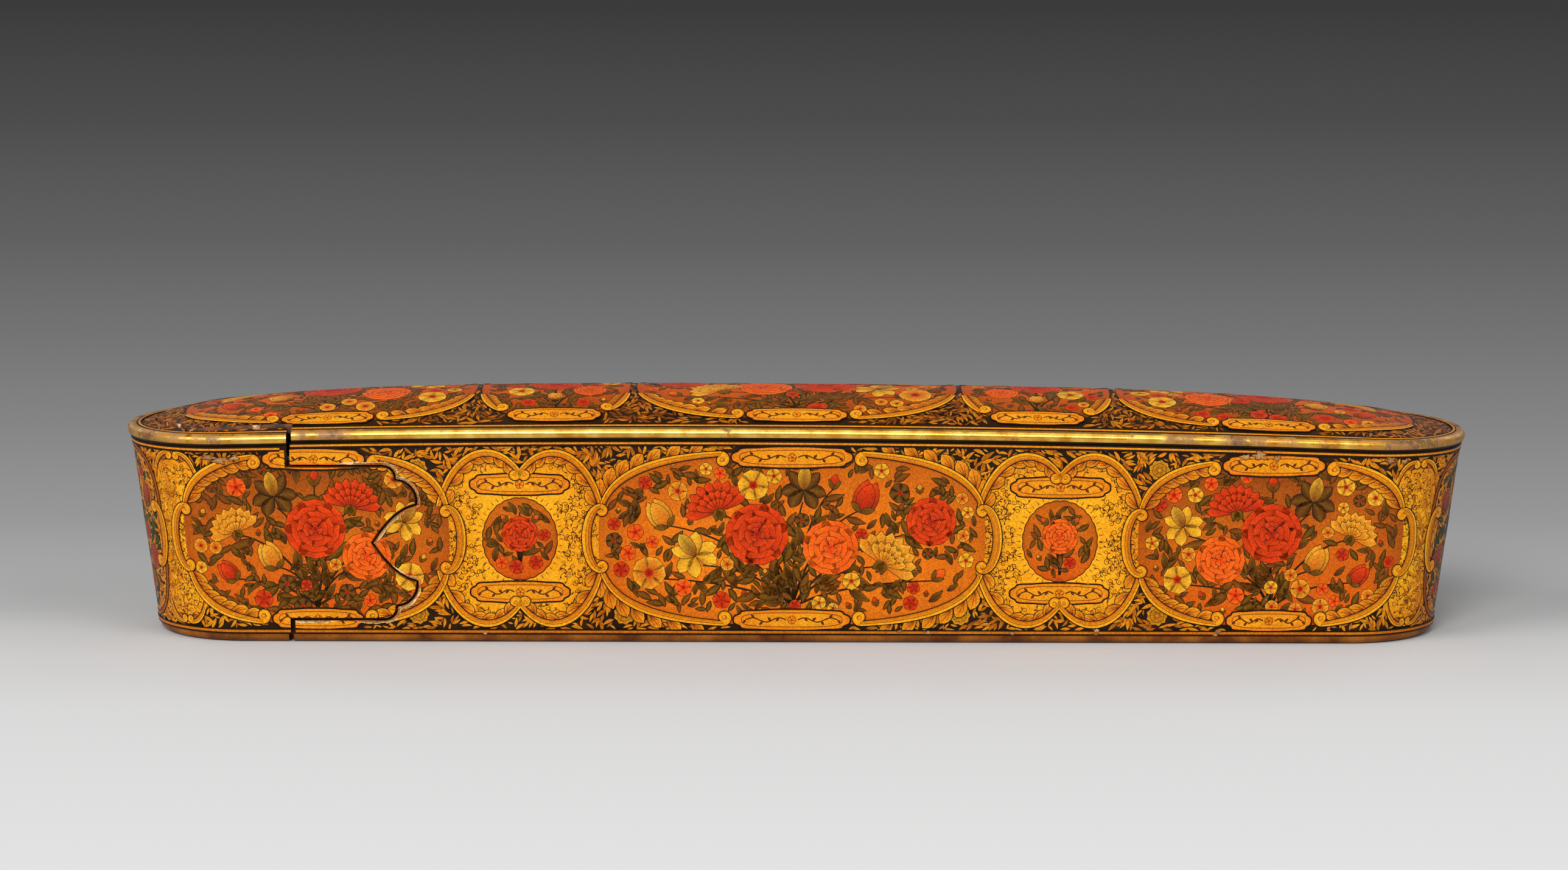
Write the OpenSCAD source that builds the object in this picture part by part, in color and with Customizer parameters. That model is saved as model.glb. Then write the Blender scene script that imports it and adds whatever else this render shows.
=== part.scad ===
// Lacquered papier-mache pen box: a round-ended sleeve with a pillow top, and a
// drawer whose end cap closes the sleeve along a scalloped seam. The drawer holds
// a writing kit: inkwell, reed pens, penknife, nib plate and ink spoon.
// Millimetres, +Z up, origin under the middle of the base. The drawer pulls out to -X.

/* [Case] */
// Length of the case over its bead
case_len = 240; // [215:1:280]
// Width of the case over its bead
case_w = 38; // [34:0.5:46]
// Height of the rim at mid length
rim_h = 39; // [35:0.5:48]
// Fall of the rim from mid length to the ends
rim_arch = 1.9; // [0:0.1:3]
// Extra fall of the rim at the closed end, and rise at the drawer's end
rim_tilt = 0.6; // [0:0.1:1.2]
// Rise of the pillow top above the rim
crown = 5; // [3:0.5:7]
// How far along the top the crown stays full, as a power
crown_power = 5; // [3:0.5:8]
// How much each end leans in from rim to base
end_draft = 5.25; // [3:0.25:7]
// How much each long side leans in from rim to base
side_draft = 2.25; // [1:0.25:4]
// Radius of the edge under the base
base_r = 1.5; // [0.8:0.1:1.7]
// Thickness of the sleeve's wall
wall = 1.8; // [1.4:0.1:2.4]
// Radius of the gilt bead round the rim
bead_r = 1.2; // [0.8:0.1:1.6]

/* [Seam] */
// Length of the drawer's end cap, from the end of the case to the straight cuts
cap_len = 30; // [26:0.5:40]
// How far the cap's side tongue runs past the straight cuts
tongue_len = 22.7; // [18:0.1:30]
// Height of wall between the rim and the side tongue
tongue_under_rim = 7.1; // [6:0.1:9]
// Height of wall between the base and the side tongue
tongue_over_base = 4.4; // [3.6:0.1:6]
// Radius of the side tongue's outer corners
tongue_corner_r = 2; // [1:0.1:3]
// Step from a corner of the side tongue to the lobe beside it
tongue_step = 0.5; // [0.2:0.1:1]
// Radius of the two lobes on the side tongue
lobe_r = 3.7; // [2.5:0.1:4.5]
// Depth of the pointed notch between the two lobes
notch_depth = 7.9; // [5:0.1:10]
// Swell of the notch's two curved edges
notch_swell = 2.8; // [1:0.1:3.5]
// Strip of the cap's top left outside the sleeve's top tongue, along the sides
top_land = 3.5; // [2.8:0.1:5]
// Distance from the end of the case to the points of the sleeve's tongues
tip_land = 5.6; // [4.8:0.1:8]
// Distance from the end of the case to the shoulders of the sleeve's tongues
shoulder_land = 13.5; // [12:0.1:16]
// Radius at the shoulders of the sleeve's tongues
shoulder_r = 1.4; // [0.8:0.1:2]
// How full the curved ends of the sleeve's tongues are
tongue_fullness = 0.75; // [0.6:0.05:0.9]
// Strip of the cap's base left outside the sleeve's base tongue, inside the cap's wall
base_land = 1.5; // [1:0.1:3]
// Gap along the scalloped seam
seam_gap = 0.35; // [0.2:0.05:0.6]
// Gap at the straight cuts
cut_gap = 0.9; // [0.4:0.1:1.5]
// How far the cap's top sits below the sleeve's top
cap_drop = 0.5; // [0:0.1:0.8]

/* [Drawer tray] */
// Running clearance between tray and sleeve
clearance = 0.35; // [0.2:0.05:0.6]
// Thickness of the tray's wall
tray_wall = 1.4; // [1:0.1:2]
// Thickness of the tray's floor
tray_floor = 1.6; // [1:0.1:2.4]
// Headroom between the tray's edge and the lowest part of the sleeve's ceiling
tray_headroom = 1.2; // [0.6:0.1:3]
// Space left round each thing that is stowed in the tray
stow_gap = 0.3; // [0.2:0.05:0.5]
// Free length between the inkwell and the tools that lie on the pens
kit_play = 4; // [2:0.5:8]

/* [Inkwell] */
// Thickness of the inkwell's wall and floor
well_wall = 1.1; // [0.8:0.1:1.6]
// How far the inkwell's foot is drawn in
well_foot = 1.6; // [0.8:0.1:2.4]
// Radius of the inkwell's shoulder
shoulder_fillet = 3; // [1.5:0.1:4]
// Width of the inkwell's mouth
well_mouth_d = 14; // [11:0.5:16]
// Height of the inkwell's neck
well_neck_h = 2.5; // [1.5:0.1:4]
// Height of the domed lid above the neck, without its knob
lid_h = 4.2; // [3:0.1:6]
// Height of the lid's knob
knob_h = 3.4; // [2.5:0.1:5]
// Width of the lid's knob
knob_d = 3.6; // [2.5:0.1:5]
// Depth of the plug that holds the lid in the mouth
lid_plug_h = 2.2; // [1.5:0.1:3]
// Height of the lid's flat lip
lid_lip_h = 1; // [0.6:0.1:1.4]
// How far the lid's lip stands out past the neck
lid_overhang = 0.8; // [0.4:0.1:1.2]
// Space between the lid's plug and the mouth
lid_fit = 0.2; // [0.1:0.05:0.3]
// How far the lid's knob stands below the edge of the tray
lid_below_edge = 2; // [1:0.1:6]
// Height of the silk wad that holds the ink
wad_h = 8; // [5:0.5:12]

/* [Reed pens] */
// Number of reed pens side by side on the floor of the tray
pen_count = 4; // [3:1:4]
// Thickness of a reed's wall
reed_wall = 1; // [0.7:0.1:1.4]
// Length of the scooped nib of a pen
nib_len = 22; // [16:1:28]
// Width of a pen's cut tip
nib_w = 2.4; // [1.6:0.1:3.2]
// Distance of a node ring from a pen's back end
reed_node_at = 48; // [30:1:70]
// Length of a node ring
ring_h = 1.6; // [1:0.1:2.4]
// How far a node ring stands out from the reed
ring_proud = 0.25; // [0.1:0.05:0.4]

/* [Penknife] */
// Length of the knife's handle
handle_len = 72; // [60:1:80]
// Width of the handle at its widest
handle_d = 8; // [7:0.1:8.4]
// Width of the handle beside the ferrule
handle_neck_d = 5.6; // [5:0.1:6.4]
// Length of the brass ferrule
ferrule_len = 7; // [5:0.5:10]
// Length of the blade outside the ferrule
blade_len = 34; // [26:1:40]
// Height of the blade
blade_h = 4.6; // [3.6:0.1:5]
// Thickness of the blade's back
blade_t = 1.2; // [0.8:0.1:1.6]
// Width of the round tang that holds the blade in the ferrule
tang_d = 2.4; // [1.8:0.1:3]
// Clearance of the tang in the ferrule
tang_fit = 0.05; // [0.02:0.01:0.1]
// Width of the ferrule's raised ring past the handle's neck
ferrule_ring = 0.4; // [0.2:0.1:0.6]

/* [Nib plate] */
// Length of the plate that nibs are cut on
plate_len = 92; // [75:1:105]
// Width of the nib plate
plate_w = 10.5; // [9:0.1:11]
// Thickness of the nib plate
plate_t = 2.6; // [2:0.1:3.5]
// Length of the raised pen rest on the nib plate
rest_len = 16; // [12:0.5:20]
// Height of the pen rest above the plate
rest_h = 2.4; // [1.8:0.1:3]
// Width of the pen rest
rest_w = 8.5; // [7:0.1:9]
// Depth of the pen's groove in the rest
groove_depth = 1.6; // [1:0.1:1.8]
// Width of the nib plate's hanging hole
plate_hole_d = 2.4; // [1.6:0.1:3]

/* [Ink spoon] */
// Length of the spoon's stem
spoon_stem_len = 78; // [65:1:90]
// Thickness of the spoon's stem
spoon_stem_d = 2.2; // [1.8:0.1:2.6]
// Width of the knop at the end of the spoon's stem
spoon_knop_d = 2.8; // [2.2:0.1:3.2]
// Width of the spoon's bowl
spoon_bowl_d = 8; // [6:0.1:9]
// Thickness of the spoon's bowl
spoon_bowl_t = 0.7; // [0.5:0.1:1]

/* [Hidden] */
$fn = 48;

// Steps round an end, along a side, and up the crown
end_steps = 16;
side_steps = 12;
crown_steps = [0, 0.12, 0.27, 0.44, 0.64, 0.86];
curve_steps = 6;

// Half sizes at the base, inside the bead's overhang
bead_proud = bead_r / 2;
base_half_len = case_len / 2 - bead_proud - end_draft;
base_half_w = case_w / 2 - bead_proud - side_draft;
bead_top_angle = 120;
bead_sink = bead_r * (1 - sin(bead_top_angle));
crown_inset = bead_proud - bead_r * cos(bead_top_angle) + 0.1;

// Places along the length
end_x = -case_len / 2;
cut_x = end_x + cap_len;
tongue_end_x = cut_x + tongue_len;

// The side tongue's middle and half height
tongue_top = rim_h - tongue_under_rim;
tongue_mid = (tongue_top + tongue_over_base) / 2;
tongue_half = (tongue_top - tongue_over_base) / 2;

// The tray's skin, floor and edge
tray_inset = wall + clearance;
trough_inset = tray_inset + tray_wall;
floor_z = tray_inset + tray_floor;
ceiling_low = rim_h - rim_arch - rim_tilt - wall;
tray_top = ceiling_low - tray_headroom;

// Room inside the tray at its floor
trough_half_w = half_w(floor_z) - trough_inset;
trough_half_len = half_len(floor_z) - trough_inset;

// The inkwell stands in the round end next to the cap
well_r = trough_half_w - stow_gap;
well_x = -(trough_half_len - trough_half_w);
well_top = tray_top - lid_below_edge - knob_h - lid_h;
well_h = well_top - floor_z;
well_shoulder = well_h - well_neck_h;
well_neck_r = well_mouth_d / 2 + well_wall;
well_floor_h = 2 * well_wall;
lid_lip_r = well_neck_r + lid_overhang;

// The pens fill the floor between the inkwell and the far end
pen_pitch = 2 * trough_half_w / pen_count;
pen_r = pen_pitch / 2 - stow_gap / 2;
pen_back_x = trough_half_len - trough_half_w;
pen_tip_x = well_x + well_r + 2 * stow_gap;
pen_len = pen_back_x - pen_tip_x;
pen_z = floor_z + pen_r + stow_gap / 2;
kit_z = pen_z + pen_r + stow_gap / 2;

// Things that lie on the pens
kit_x = pen_tip_x + kit_play;
knife_y = -(trough_half_w - stow_gap - handle_d / 2);
knife_z = kit_z + handle_d / 2;
plate_y = trough_half_w - stow_gap - plate_w / 2;
spoon_y = (knife_y + handle_d / 2 + plate_y - plate_w / 2) / 2;
spoon_x = kit_x + plate_len + 2 * stow_gap - spoon_stem_len;
spoon_z = kit_z + spoon_knop_d / 2;

// Half length and half width of the wall at height z
function half_len(z) = base_half_len + end_draft * z / rim_h;
function half_w(z) = base_half_w + side_draft * z / rim_h;

// Height of the rim and rise of the crown at x
function along(x) = 2 * x / case_len;
function rim(x) = rim_h - rim_arch * pow(along(x), 2) - rim_tilt * along(x);
function rise(x) = crown * (1 - pow(min(1, abs(along(x))), crown_power));

// The plan as unit steps: place along the straight side, then a turn round the end
plan = concat(
    [for (i = [0:end_steps]) let(a = -90 + 180 * i / end_steps) [1, cos(a), sin(a)]],
    [for (i = [1:side_steps - 1]) [1 - 2 * i / side_steps, 0, 1]],
    [for (i = [0:end_steps]) let(a = 90 + 180 * i / end_steps) [-1, cos(a), sin(a)]],
    [for (i = [1:side_steps - 1]) [2 * i / side_steps - 1, 0, -1]]
);
ring_count = len(plan);
function plan_point(p, l, w) = [p[0] * (l - w) + p[1] * w, p[2] * w];

// Rings of the plan: level, along the rim, and up the crown, each drawn in by inset
function wall_point(p, z, inset) =
    concat(plan_point(p, half_len(z) - inset, half_w(z) - inset), [z]);
function flat_ring(z, inset) = [for (p = plan) wall_point(p, z, inset)];
function rim_ring(dz, inset) = [
    for (p = plan)
        let(x = plan_point(p, half_len(rim_h), half_w(rim_h))[0])
            wall_point(p, rim(x) + dz, inset)
];
function crown_ring(t, dz, inset) = [
    for (p = plan)
        let(
            w = half_w(rim_h) - inset,
            q = plan_point(p, half_len(rim_h) - inset - w * t, w * (1 - t))
        )
            [q[0], q[1], rim(q[0]) + dz + rise(q[0]) * (1 - pow(1 - t, 2))]
];

// Points of an arc and of a curve with one pull point
function arc(c, r, a0, a1) =
    [for (i = [0:curve_steps]) let(a = a0 + (a1 - a0) * i / curve_steps) c + r * [cos(a), sin(a)]];
function curve(p, pull, q) =
    [for (i = [0:curve_steps]) let(t = i / curve_steps)
        p * pow(1 - t, 2) + 2 * pull * t * (1 - t) + q * pow(t, 2)];
function mirrored(points) = [for (i = [len(points) - 1:-1:0]) [points[i][0], -points[i][1]]];

// A closed skin through a stack of rings, with level ladders of faces at both ends
module loft(rings) {
    n = ring_count;
    top = (len(rings) - 1) * n;
    mid = end_steps / 2;
    walls = [
        for (k = [0:len(rings) - 2], i = [0:n - 1])
            let(j = (i + 1) % n, a = k * n, b = a + n)
                each [[a + i, b + i, b + j], [a + i, b + j, a + j]]
    ];
    ladder = [
        for (k = [0:n / 2 - 1])
            let(a = (mid + k) % n, b = (mid - k + n) % n, c = (a + 1) % n, d = (b - 1 + n) % n)
                k == 0 ? [a, c, d] : k == n / 2 - 1 ? [b, a, c] : [b, a, c, d]
    ];
    lid = [for (f = ladder) [for (i = [len(f) - 1:-1:0]) top + f[i]]];
    polyhedron([for (r = rings) each r], concat(walls, ladder, lid));
}

// The whole outside of the case, its top lowered by drop
module case_outside(drop) {
    loft(concat(
        [for (a = [0:30:90]) flat_ring(base_r * (1 - cos(a)), base_r * (1 - sin(a)))],
        [for (a = [-60:30:bead_top_angle])
            rim_ring(bead_r * (sin(a) - 1) - drop, bead_proud - bead_r * cos(a))],
        [for (t = crown_steps) crown_ring(t, -bead_sink - drop, crown_inset)]
    ));
}

// The space inside a wall of the given thickness, its ceiling lowered by drop
module case_inside(inset, drop) {
    loft(concat(
        [flat_ring(inset, inset), rim_ring(-wall - drop, inset)],
        [for (i = [1:len(crown_steps) - 1]) crown_ring(crown_steps[i], -wall - drop, inset)]
    ));
}

// Upper half of the side tongue's outline, from the notch's point back to the straight cut
function side_tongue_half() =
    let(
        lobe_x = tongue_end_x - lobe_r,
        lobe_v = tongue_half - tongue_corner_r - tongue_step - lobe_r,
        corner = [lobe_x - tongue_corner_r, tongue_half - tongue_corner_r],
        point = [tongue_end_x - notch_depth, 0],
        foot = [tongue_end_x, lobe_v - tongue_step]
    )
        concat(
            curve(point, (point + foot) / 2 + [0, notch_swell], foot),
            arc([lobe_x, lobe_v], lobe_r, 0, 90),
            arc(corner, tongue_corner_r, 0, 90),
            [[cut_x - cap_len, tongue_half]]
        );

// The side tongue right through the case, grown by gap
module side_tongue(gap) {
    half = side_tongue_half();
    translate([0, case_w, tongue_mid])
        rotate([90, 0, 0])
            linear_extrude(2 * case_w)
                offset(delta = gap)
                    polygon(concat(half, mirrored(half)));
}

// Half outline of a sleeve tongue of half width w in a case that ends at end, from the
// tongue's point back past the straight cut
function sleeve_tongue_half(w, end) =
    let(
        shoulder = [end + shoulder_land, w - shoulder_r],
        point = [end + tip_land, 0],
        foot = shoulder - [shoulder_r, shoulder_r],
        pull = [point[0] + shoulder_r, foot[1] * tongue_fullness]
    )
        concat(
            curve(point, pull, foot),
            arc(shoulder, shoulder_r, 180, 90),
            [[tongue_end_x, w]]
        );

// A sleeve tongue standing from z0 to z1, grown by gap
module sleeve_tongue(w, end, gap, z0, z1) {
    half = sleeve_tongue_half(w, end);
    translate([0, 0, z0])
        linear_extrude(z1 - z0)
            offset(delta = gap)
                polygon(concat(mirrored(half), half));
}

// What belongs to the end cap: the end of the case and its side tongues, less the sleeve's
// tongues at top and base
module cap_space(cut, side_gap, sleeve_gap) {
    top_w = half_w(rim_h) - top_land;
    base_w = base_half_w - tray_inset - base_land;
    difference() {
        union() {
            translate([end_x - case_w, -case_w, -rim_h])
                cube([cap_len + case_w + cut, 2 * case_w, 3 * rim_h]);
            side_tongue(side_gap);
        }
        sleeve_tongue(top_w, end_x, sleeve_gap, ceiling_low, 2 * rim_h + crown);
        sleeve_tongue(base_w, -base_half_len, sleeve_gap, -2 * rim_h, tongue_over_base - seam_gap);
    }
}

module sleeve() {
    color("darkgoldenrod")
        difference() {
            case_outside(0);
            case_inside(wall, 0);
            cap_space(cut_gap, seam_gap, 0);
        }
}

module end_cap() {
    color("goldenrod")
        intersection() {
            difference() {
                case_outside(cap_drop);
                case_inside(tray_inset, cap_drop);
            }
            cap_space(0, 0, seam_gap);
        }
}

module tray() {
    color("saddlebrown")
        difference() {
            loft([flat_ring(tray_inset, tray_inset), flat_ring(tray_top, tray_inset)]);
            loft([flat_ring(floor_z, trough_inset), flat_ring(tray_top + wall, trough_inset)]);
        }
}

// Turned brass pot with a drawn-in foot, a rounded shoulder and a neck
module inkwell_body() {
    inner_top = well_shoulder - well_wall - shoulder_fillet;
    color("gold")
        translate([well_x, 0, floor_z])
            rotate_extrude()
                difference() {
                    union() {
                        square([well_r - well_foot, well_wall]);
                        translate([0, well_wall])
                            square([well_r, well_shoulder - well_wall - shoulder_fillet]);
                        square([well_r - shoulder_fillet, well_shoulder]);
                        translate([well_r - shoulder_fillet, well_shoulder - shoulder_fillet])
                            intersection() {
                                circle(shoulder_fillet);
                                square(shoulder_fillet);
                            }
                        square([well_neck_r, well_h]);
                    }
                    translate([0, well_floor_h])
                        square([well_r - well_wall, inner_top - well_floor_h]);
                    translate([0, well_floor_h])
                        square([well_mouth_d / 2, well_h]);
                }
}

// Domed lid that lifts off the inkwell, with a plug in the mouth and a knob
module inkwell_lid() {
    plug_r = well_mouth_d / 2 - lid_fit;
    dome_r = lid_lip_r - lid_lip_h;
    color("gold")
        translate([well_x, 0, well_top])
            rotate_extrude()
                union() {
                    translate([0, -lid_plug_h])
                        square([plug_r, lid_plug_h]);
                    square([lid_lip_r, lid_lip_h]);
                    polygon(concat(
                        [[0, 0]],
                        curve([dome_r, lid_lip_h], [dome_r, lid_h], [0, lid_h])
                    ));
                    square([knob_d / 4, lid_h + knob_h / 2]);
                    translate([0, lid_h + knob_h - knob_d / 2])
                        intersection() {
                            circle(knob_d / 2);
                            translate([0, -knob_d])
                                square([knob_d, 2 * knob_d]);
                        }
                }
}

// Wad of silk floss in the bottom of the inkwell, domed on top
module ink_wad() {
    wad_r = well_r - well_wall - lid_fit;
    dome_h = wad_h / 4;
    color("dimgray")
        translate([well_x, 0, floor_z + well_floor_h])
            rotate_extrude()
                polygon(concat(
                    [[0, 0], [wad_r, 0]],
                    curve([wad_r, wad_h - dome_h], [wad_r / 2, wad_h], [0, wad_h])
                ));
}

// Reed pen with a hollow stem, raised node rings, and a nib scooped and pared to a tip
module reed_pen(i) {
    stem_r = pen_r - ring_proud;
    scoop_r = 1.6 * nib_len;
    pare = curve([pen_r, pen_len - nib_len], [nib_w / 2, pen_len - nib_len / 2], [nib_w / 2, pen_len]);
    color("sienna")
        translate([pen_back_x, (i - (pen_count + 1) / 2) * pen_pitch, pen_z])
            rotate([0, -90, 0])
                difference() {
                    union() {
                        cylinder(r = stem_r, h = pen_len);
                        cylinder(r = pen_r, h = ring_h);
                        translate([0, 0, reed_node_at])
                            cylinder(r = pen_r, h = ring_h);
                        translate([0, 0, pen_len - nib_len - ring_h])
                            cylinder(r = pen_r, h = ring_h);
                    }
                    translate([0, 0, -ring_h])
                        cylinder(r = stem_r - reed_wall, h = reed_node_at);
                    translate([0, 0, reed_node_at + ring_h])
                        cylinder(r = stem_r - reed_wall, h = pen_len);
                    translate([scoop_r - stem_r + reed_wall, pen_r, pen_len - nib_len + scoop_r / 2])
                        rotate([90, 0, 0])
                            cylinder(r = scoop_r, h = 2 * pen_r);
                    for (s = [-1, 1])
                        translate([-pen_r, 0, 0])
                            rotate([0, 90, 0])
                                linear_extrude(2 * pen_r)
                                    polygon(concat(
                                        [for (p = pare) [-p[1], s * p[0]]],
                                        [[-pen_len - ring_h, s * nib_w / 2], [-pen_len - ring_h, s * pen_r]]
                                    ));
                }
}

// Turned handle of the penknife, swelling from its neck and rounded at its butt
module knife_handle() {
    butt = handle_d / 2;
    color("ivory")
        translate([kit_x, knife_y, knife_z])
            rotate([0, 90, 0])
                rotate_extrude()
                    polygon(concat(
                        [[0, 0]],
                        curve([0, 0], [butt * 0.8, 0], [butt, butt]),
                        curve([butt, butt], [butt, handle_len * 0.6], [handle_neck_d / 2, handle_len]),
                        [[0, handle_len]]
                    ));
}

// Brass ferrule against the end of the handle, stepped down to the blade
module knife_ferrule() {
    color("gold")
        translate([kit_x + handle_len, knife_y, knife_z])
            rotate([0, 90, 0])
                difference() {
                    union() {
                        cylinder(d = handle_neck_d + 2 * ferrule_ring, h = ferrule_len / 5);
                        cylinder(d1 = handle_neck_d, d2 = blade_h, h = ferrule_len);
                    }
                    translate([0, 0, ferrule_len / 2])
                        cylinder(d = tang_d + 2 * tang_fit, h = ferrule_len);
                }
}

// Straight blade with an edge that sweeps up to its point, and a round tang in the ferrule
module knife_blade() {
    sweep_x = blade_len * 0.7;
    low = -blade_h / 2;
    color("lightgray")
        translate([kit_x + handle_len + ferrule_len, knife_y, knife_z]) {
            rotate([90, 0, 0])
                linear_extrude(blade_t, center = true)
                    polygon(concat(
                        [[0, low]],
                        curve([sweep_x, low], [blade_len - blade_h / 2, low], [blade_len, -low]),
                        [[0, -low]]
                    ));
            translate([-ferrule_len / 2 + tang_fit, 0, 0])
                rotate([0, 90, 0])
                    cylinder(d = tang_d, h = ferrule_len / 2 + blade_t);
        }
}

// Bone plate with round ends, a hanging hole, and a grooved rest that holds a pen while
// its nib is cut
module nib_plate() {
    end_r = plate_w / 2;
    color("ivory")
        translate([kit_x, plate_y, kit_z])
            difference() {
                union() {
                    for (x = [end_r, plate_len - end_r])
                        translate([x, 0, 0])
                            cylinder(r = end_r, h = plate_t);
                    translate([end_r, -end_r, 0])
                        cube([plate_len - plate_w, plate_w, plate_t]);
                    translate([(plate_len - rest_len) / 2, -rest_w / 2, 0])
                        cube([rest_len, rest_w, plate_t + rest_h]);
                }
                translate([(plate_len - rest_len) / 2 - 1, 0, plate_t + rest_h + pen_r - groove_depth])
                    rotate([0, 90, 0])
                        cylinder(r = pen_r, h = rest_len + 2);
                translate([plate_len - end_r, 0, -1])
                    cylinder(d = plate_hole_d, h = plate_t + 2);
            }
}

// Small brass spoon for wetting the ink: a round stem with a knop, and a shallow bowl
module ink_spoon() {
    bowl_r = spoon_bowl_d / 2;
    color("gold")
        translate([spoon_x, spoon_y, spoon_z]) {
            rotate([0, 90, 0])
                cylinder(d = spoon_stem_d, h = spoon_stem_len + spoon_bowl_t);
            sphere(d = spoon_knop_d);
            translate([spoon_stem_len + bowl_r, 0, 0])
                difference() {
                    intersection() {
                        sphere(bowl_r);
                        translate([-bowl_r, -bowl_r, -spoon_stem_d / 2])
                            cube([2 * bowl_r, 2 * bowl_r, spoon_stem_d]);
                    }
                    translate([0, 0, bowl_r - spoon_stem_d / 2 + spoon_bowl_t])
                        sphere(bowl_r);
                }
        }
}

sleeve();
end_cap();
tray();
inkwell_body();
inkwell_lid();
ink_wad();
for (i = [1:pen_count])
    reed_pen(i);
knife_handle();
knife_ferrule();
knife_blade();
nib_plate();
ink_spoon();
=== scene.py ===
"""Looks of the lacquered pen box: a smooth skin for its sleeve and end cap, the painting on that
skin, and the finishes of the drawer and its writing kit. Lengths are millimetres on the axes of the
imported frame, and build_mesh() turns them into metres. A painted face is drawn flat first: a point
on it is a complex number, along the face and up or across it, and wrap() lays it on the case."""

import cmath
import math
import random

import bpy
import numpy as np
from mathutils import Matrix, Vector


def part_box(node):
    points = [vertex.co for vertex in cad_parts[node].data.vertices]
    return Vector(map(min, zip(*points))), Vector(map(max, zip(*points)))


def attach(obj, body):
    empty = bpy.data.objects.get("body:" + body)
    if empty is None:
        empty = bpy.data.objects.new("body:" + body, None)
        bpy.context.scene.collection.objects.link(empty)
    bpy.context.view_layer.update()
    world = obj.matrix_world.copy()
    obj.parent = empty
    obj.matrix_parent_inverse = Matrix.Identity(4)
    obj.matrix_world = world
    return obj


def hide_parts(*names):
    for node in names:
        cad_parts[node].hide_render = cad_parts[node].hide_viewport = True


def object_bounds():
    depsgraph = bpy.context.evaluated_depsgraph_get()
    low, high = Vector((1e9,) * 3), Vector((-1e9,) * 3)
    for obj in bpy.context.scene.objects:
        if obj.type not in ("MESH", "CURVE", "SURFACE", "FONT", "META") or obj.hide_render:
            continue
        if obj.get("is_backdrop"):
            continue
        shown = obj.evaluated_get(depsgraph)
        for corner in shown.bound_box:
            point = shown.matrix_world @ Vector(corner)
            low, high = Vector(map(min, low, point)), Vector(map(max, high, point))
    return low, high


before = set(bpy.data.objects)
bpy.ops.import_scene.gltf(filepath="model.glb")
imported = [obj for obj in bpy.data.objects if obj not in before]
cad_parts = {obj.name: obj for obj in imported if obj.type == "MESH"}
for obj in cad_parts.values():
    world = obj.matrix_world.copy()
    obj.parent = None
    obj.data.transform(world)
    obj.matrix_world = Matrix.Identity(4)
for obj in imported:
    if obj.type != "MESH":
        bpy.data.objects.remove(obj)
cad_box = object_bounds()
rng = random.Random(31)

MM = 0.001

# Case, as in the solids
CASE_LEN, CASE_W, RIM_H = 240.0, 38.0, 39.0
RIM_ARCH, RIM_TILT = 1.9, 0.6
CROWN, CROWN_POWER = 5.0, 5
END_DRAFT, SIDE_DRAFT = 5.25, 2.25
BASE_R, BEAD_R, WALL = 1.5, 1.2, 1.8
BEAD_LOW, BEAD_TOP = math.radians(-60), math.radians(120)
BEAD_PROUD = BEAD_R / 2
BEAD_SINK = BEAD_R * (1 - math.sin(BEAD_TOP))
BEAD_DEPTH = BEAD_R * (1 - math.sin(BEAD_LOW))
CROWN_INSET = BEAD_PROUD - BEAD_R * math.cos(BEAD_TOP) + 0.1
BASE_HALF_LEN = CASE_LEN / 2 - BEAD_PROUD - END_DRAFT
BASE_HALF_W = CASE_W / 2 - BEAD_PROUD - SIDE_DRAFT
# Room for paint between the skin's top and the solids', and its flat ridge as a share of its half width
PAINT_ROOM, RIDGE = 0.1, 0.14
# How far the skin's bead lies inside the solids', and the turns between which it is gilt
BEAD_TRIM, GILT_FROM, GILT_TO = 0.015, -0.5, 1.85

# Seam between sleeve and end cap
CUT_X, CUT_GAP, SEAM_GAP, CAP_DROP = -90.0, 0.9, 0.35, 0.5
TONGUE_END_X, TONGUE_MID, TONGUE_HALF = -67.3, 18.15, 13.75
CORNER_R, LOBE_R, TONGUE_STEP = 2.0, 3.7, 0.5
NOTCH_DEPTH, NOTCH_SWELL = 7.9, 2.8
TOP_TONGUE_W, BASE_TONGUE_W = 14.9, 12.5
TIP_LAND, SHOULDER_LAND, SHOULDER_R, FULLNESS = 5.6, 13.5, 1.4, 0.75

# Tray
CLEARANCE, TRAY_WALL, TRAY_FLOOR, TRAY_TOP = 0.35, 1.4, 1.6, 33.5
TRAY_INSET = WALL + CLEARANCE
CEILING_LOW = RIM_H - RIM_ARCH - RIM_TILT - WALL

# Paint: height of the first coat above the skin and of each coat over the last
FIRST_COAT, COAT = 0.012, 0.005


def half_len(z):
    """Half the case's length at a height."""
    return BASE_HALF_LEN + END_DRAFT * z / RIM_H


def half_w(z):
    """Half its width."""
    return BASE_HALF_W + SIDE_DRAFT * z / RIM_H


def rim(x):
    """Height of the rim, arched and a little lower to the right."""
    along = 2 * x / CASE_LEN
    return RIM_H - RIM_ARCH * along**2 - RIM_TILT * along


def rise(x):
    """How far the ridge of the top stands above the rim."""
    along = np.minimum(1, np.abs(2 * x / CASE_LEN))
    return CROWN * (1 - along**CROWN_POWER)


# Colours


def tone(code, gilt=0.0):
    """A colour written as RRGGBB, made linear, with how metallic its paint is."""
    shares = [int(code[i : i + 2], 16) / 255 for i in (0, 2, 4)]
    linear = [s / 12.92 if s < 0.04045 else ((s + 0.055) / 1.055) ** 2.4 for s in shares]
    return np.array(linear + [gilt])


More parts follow.
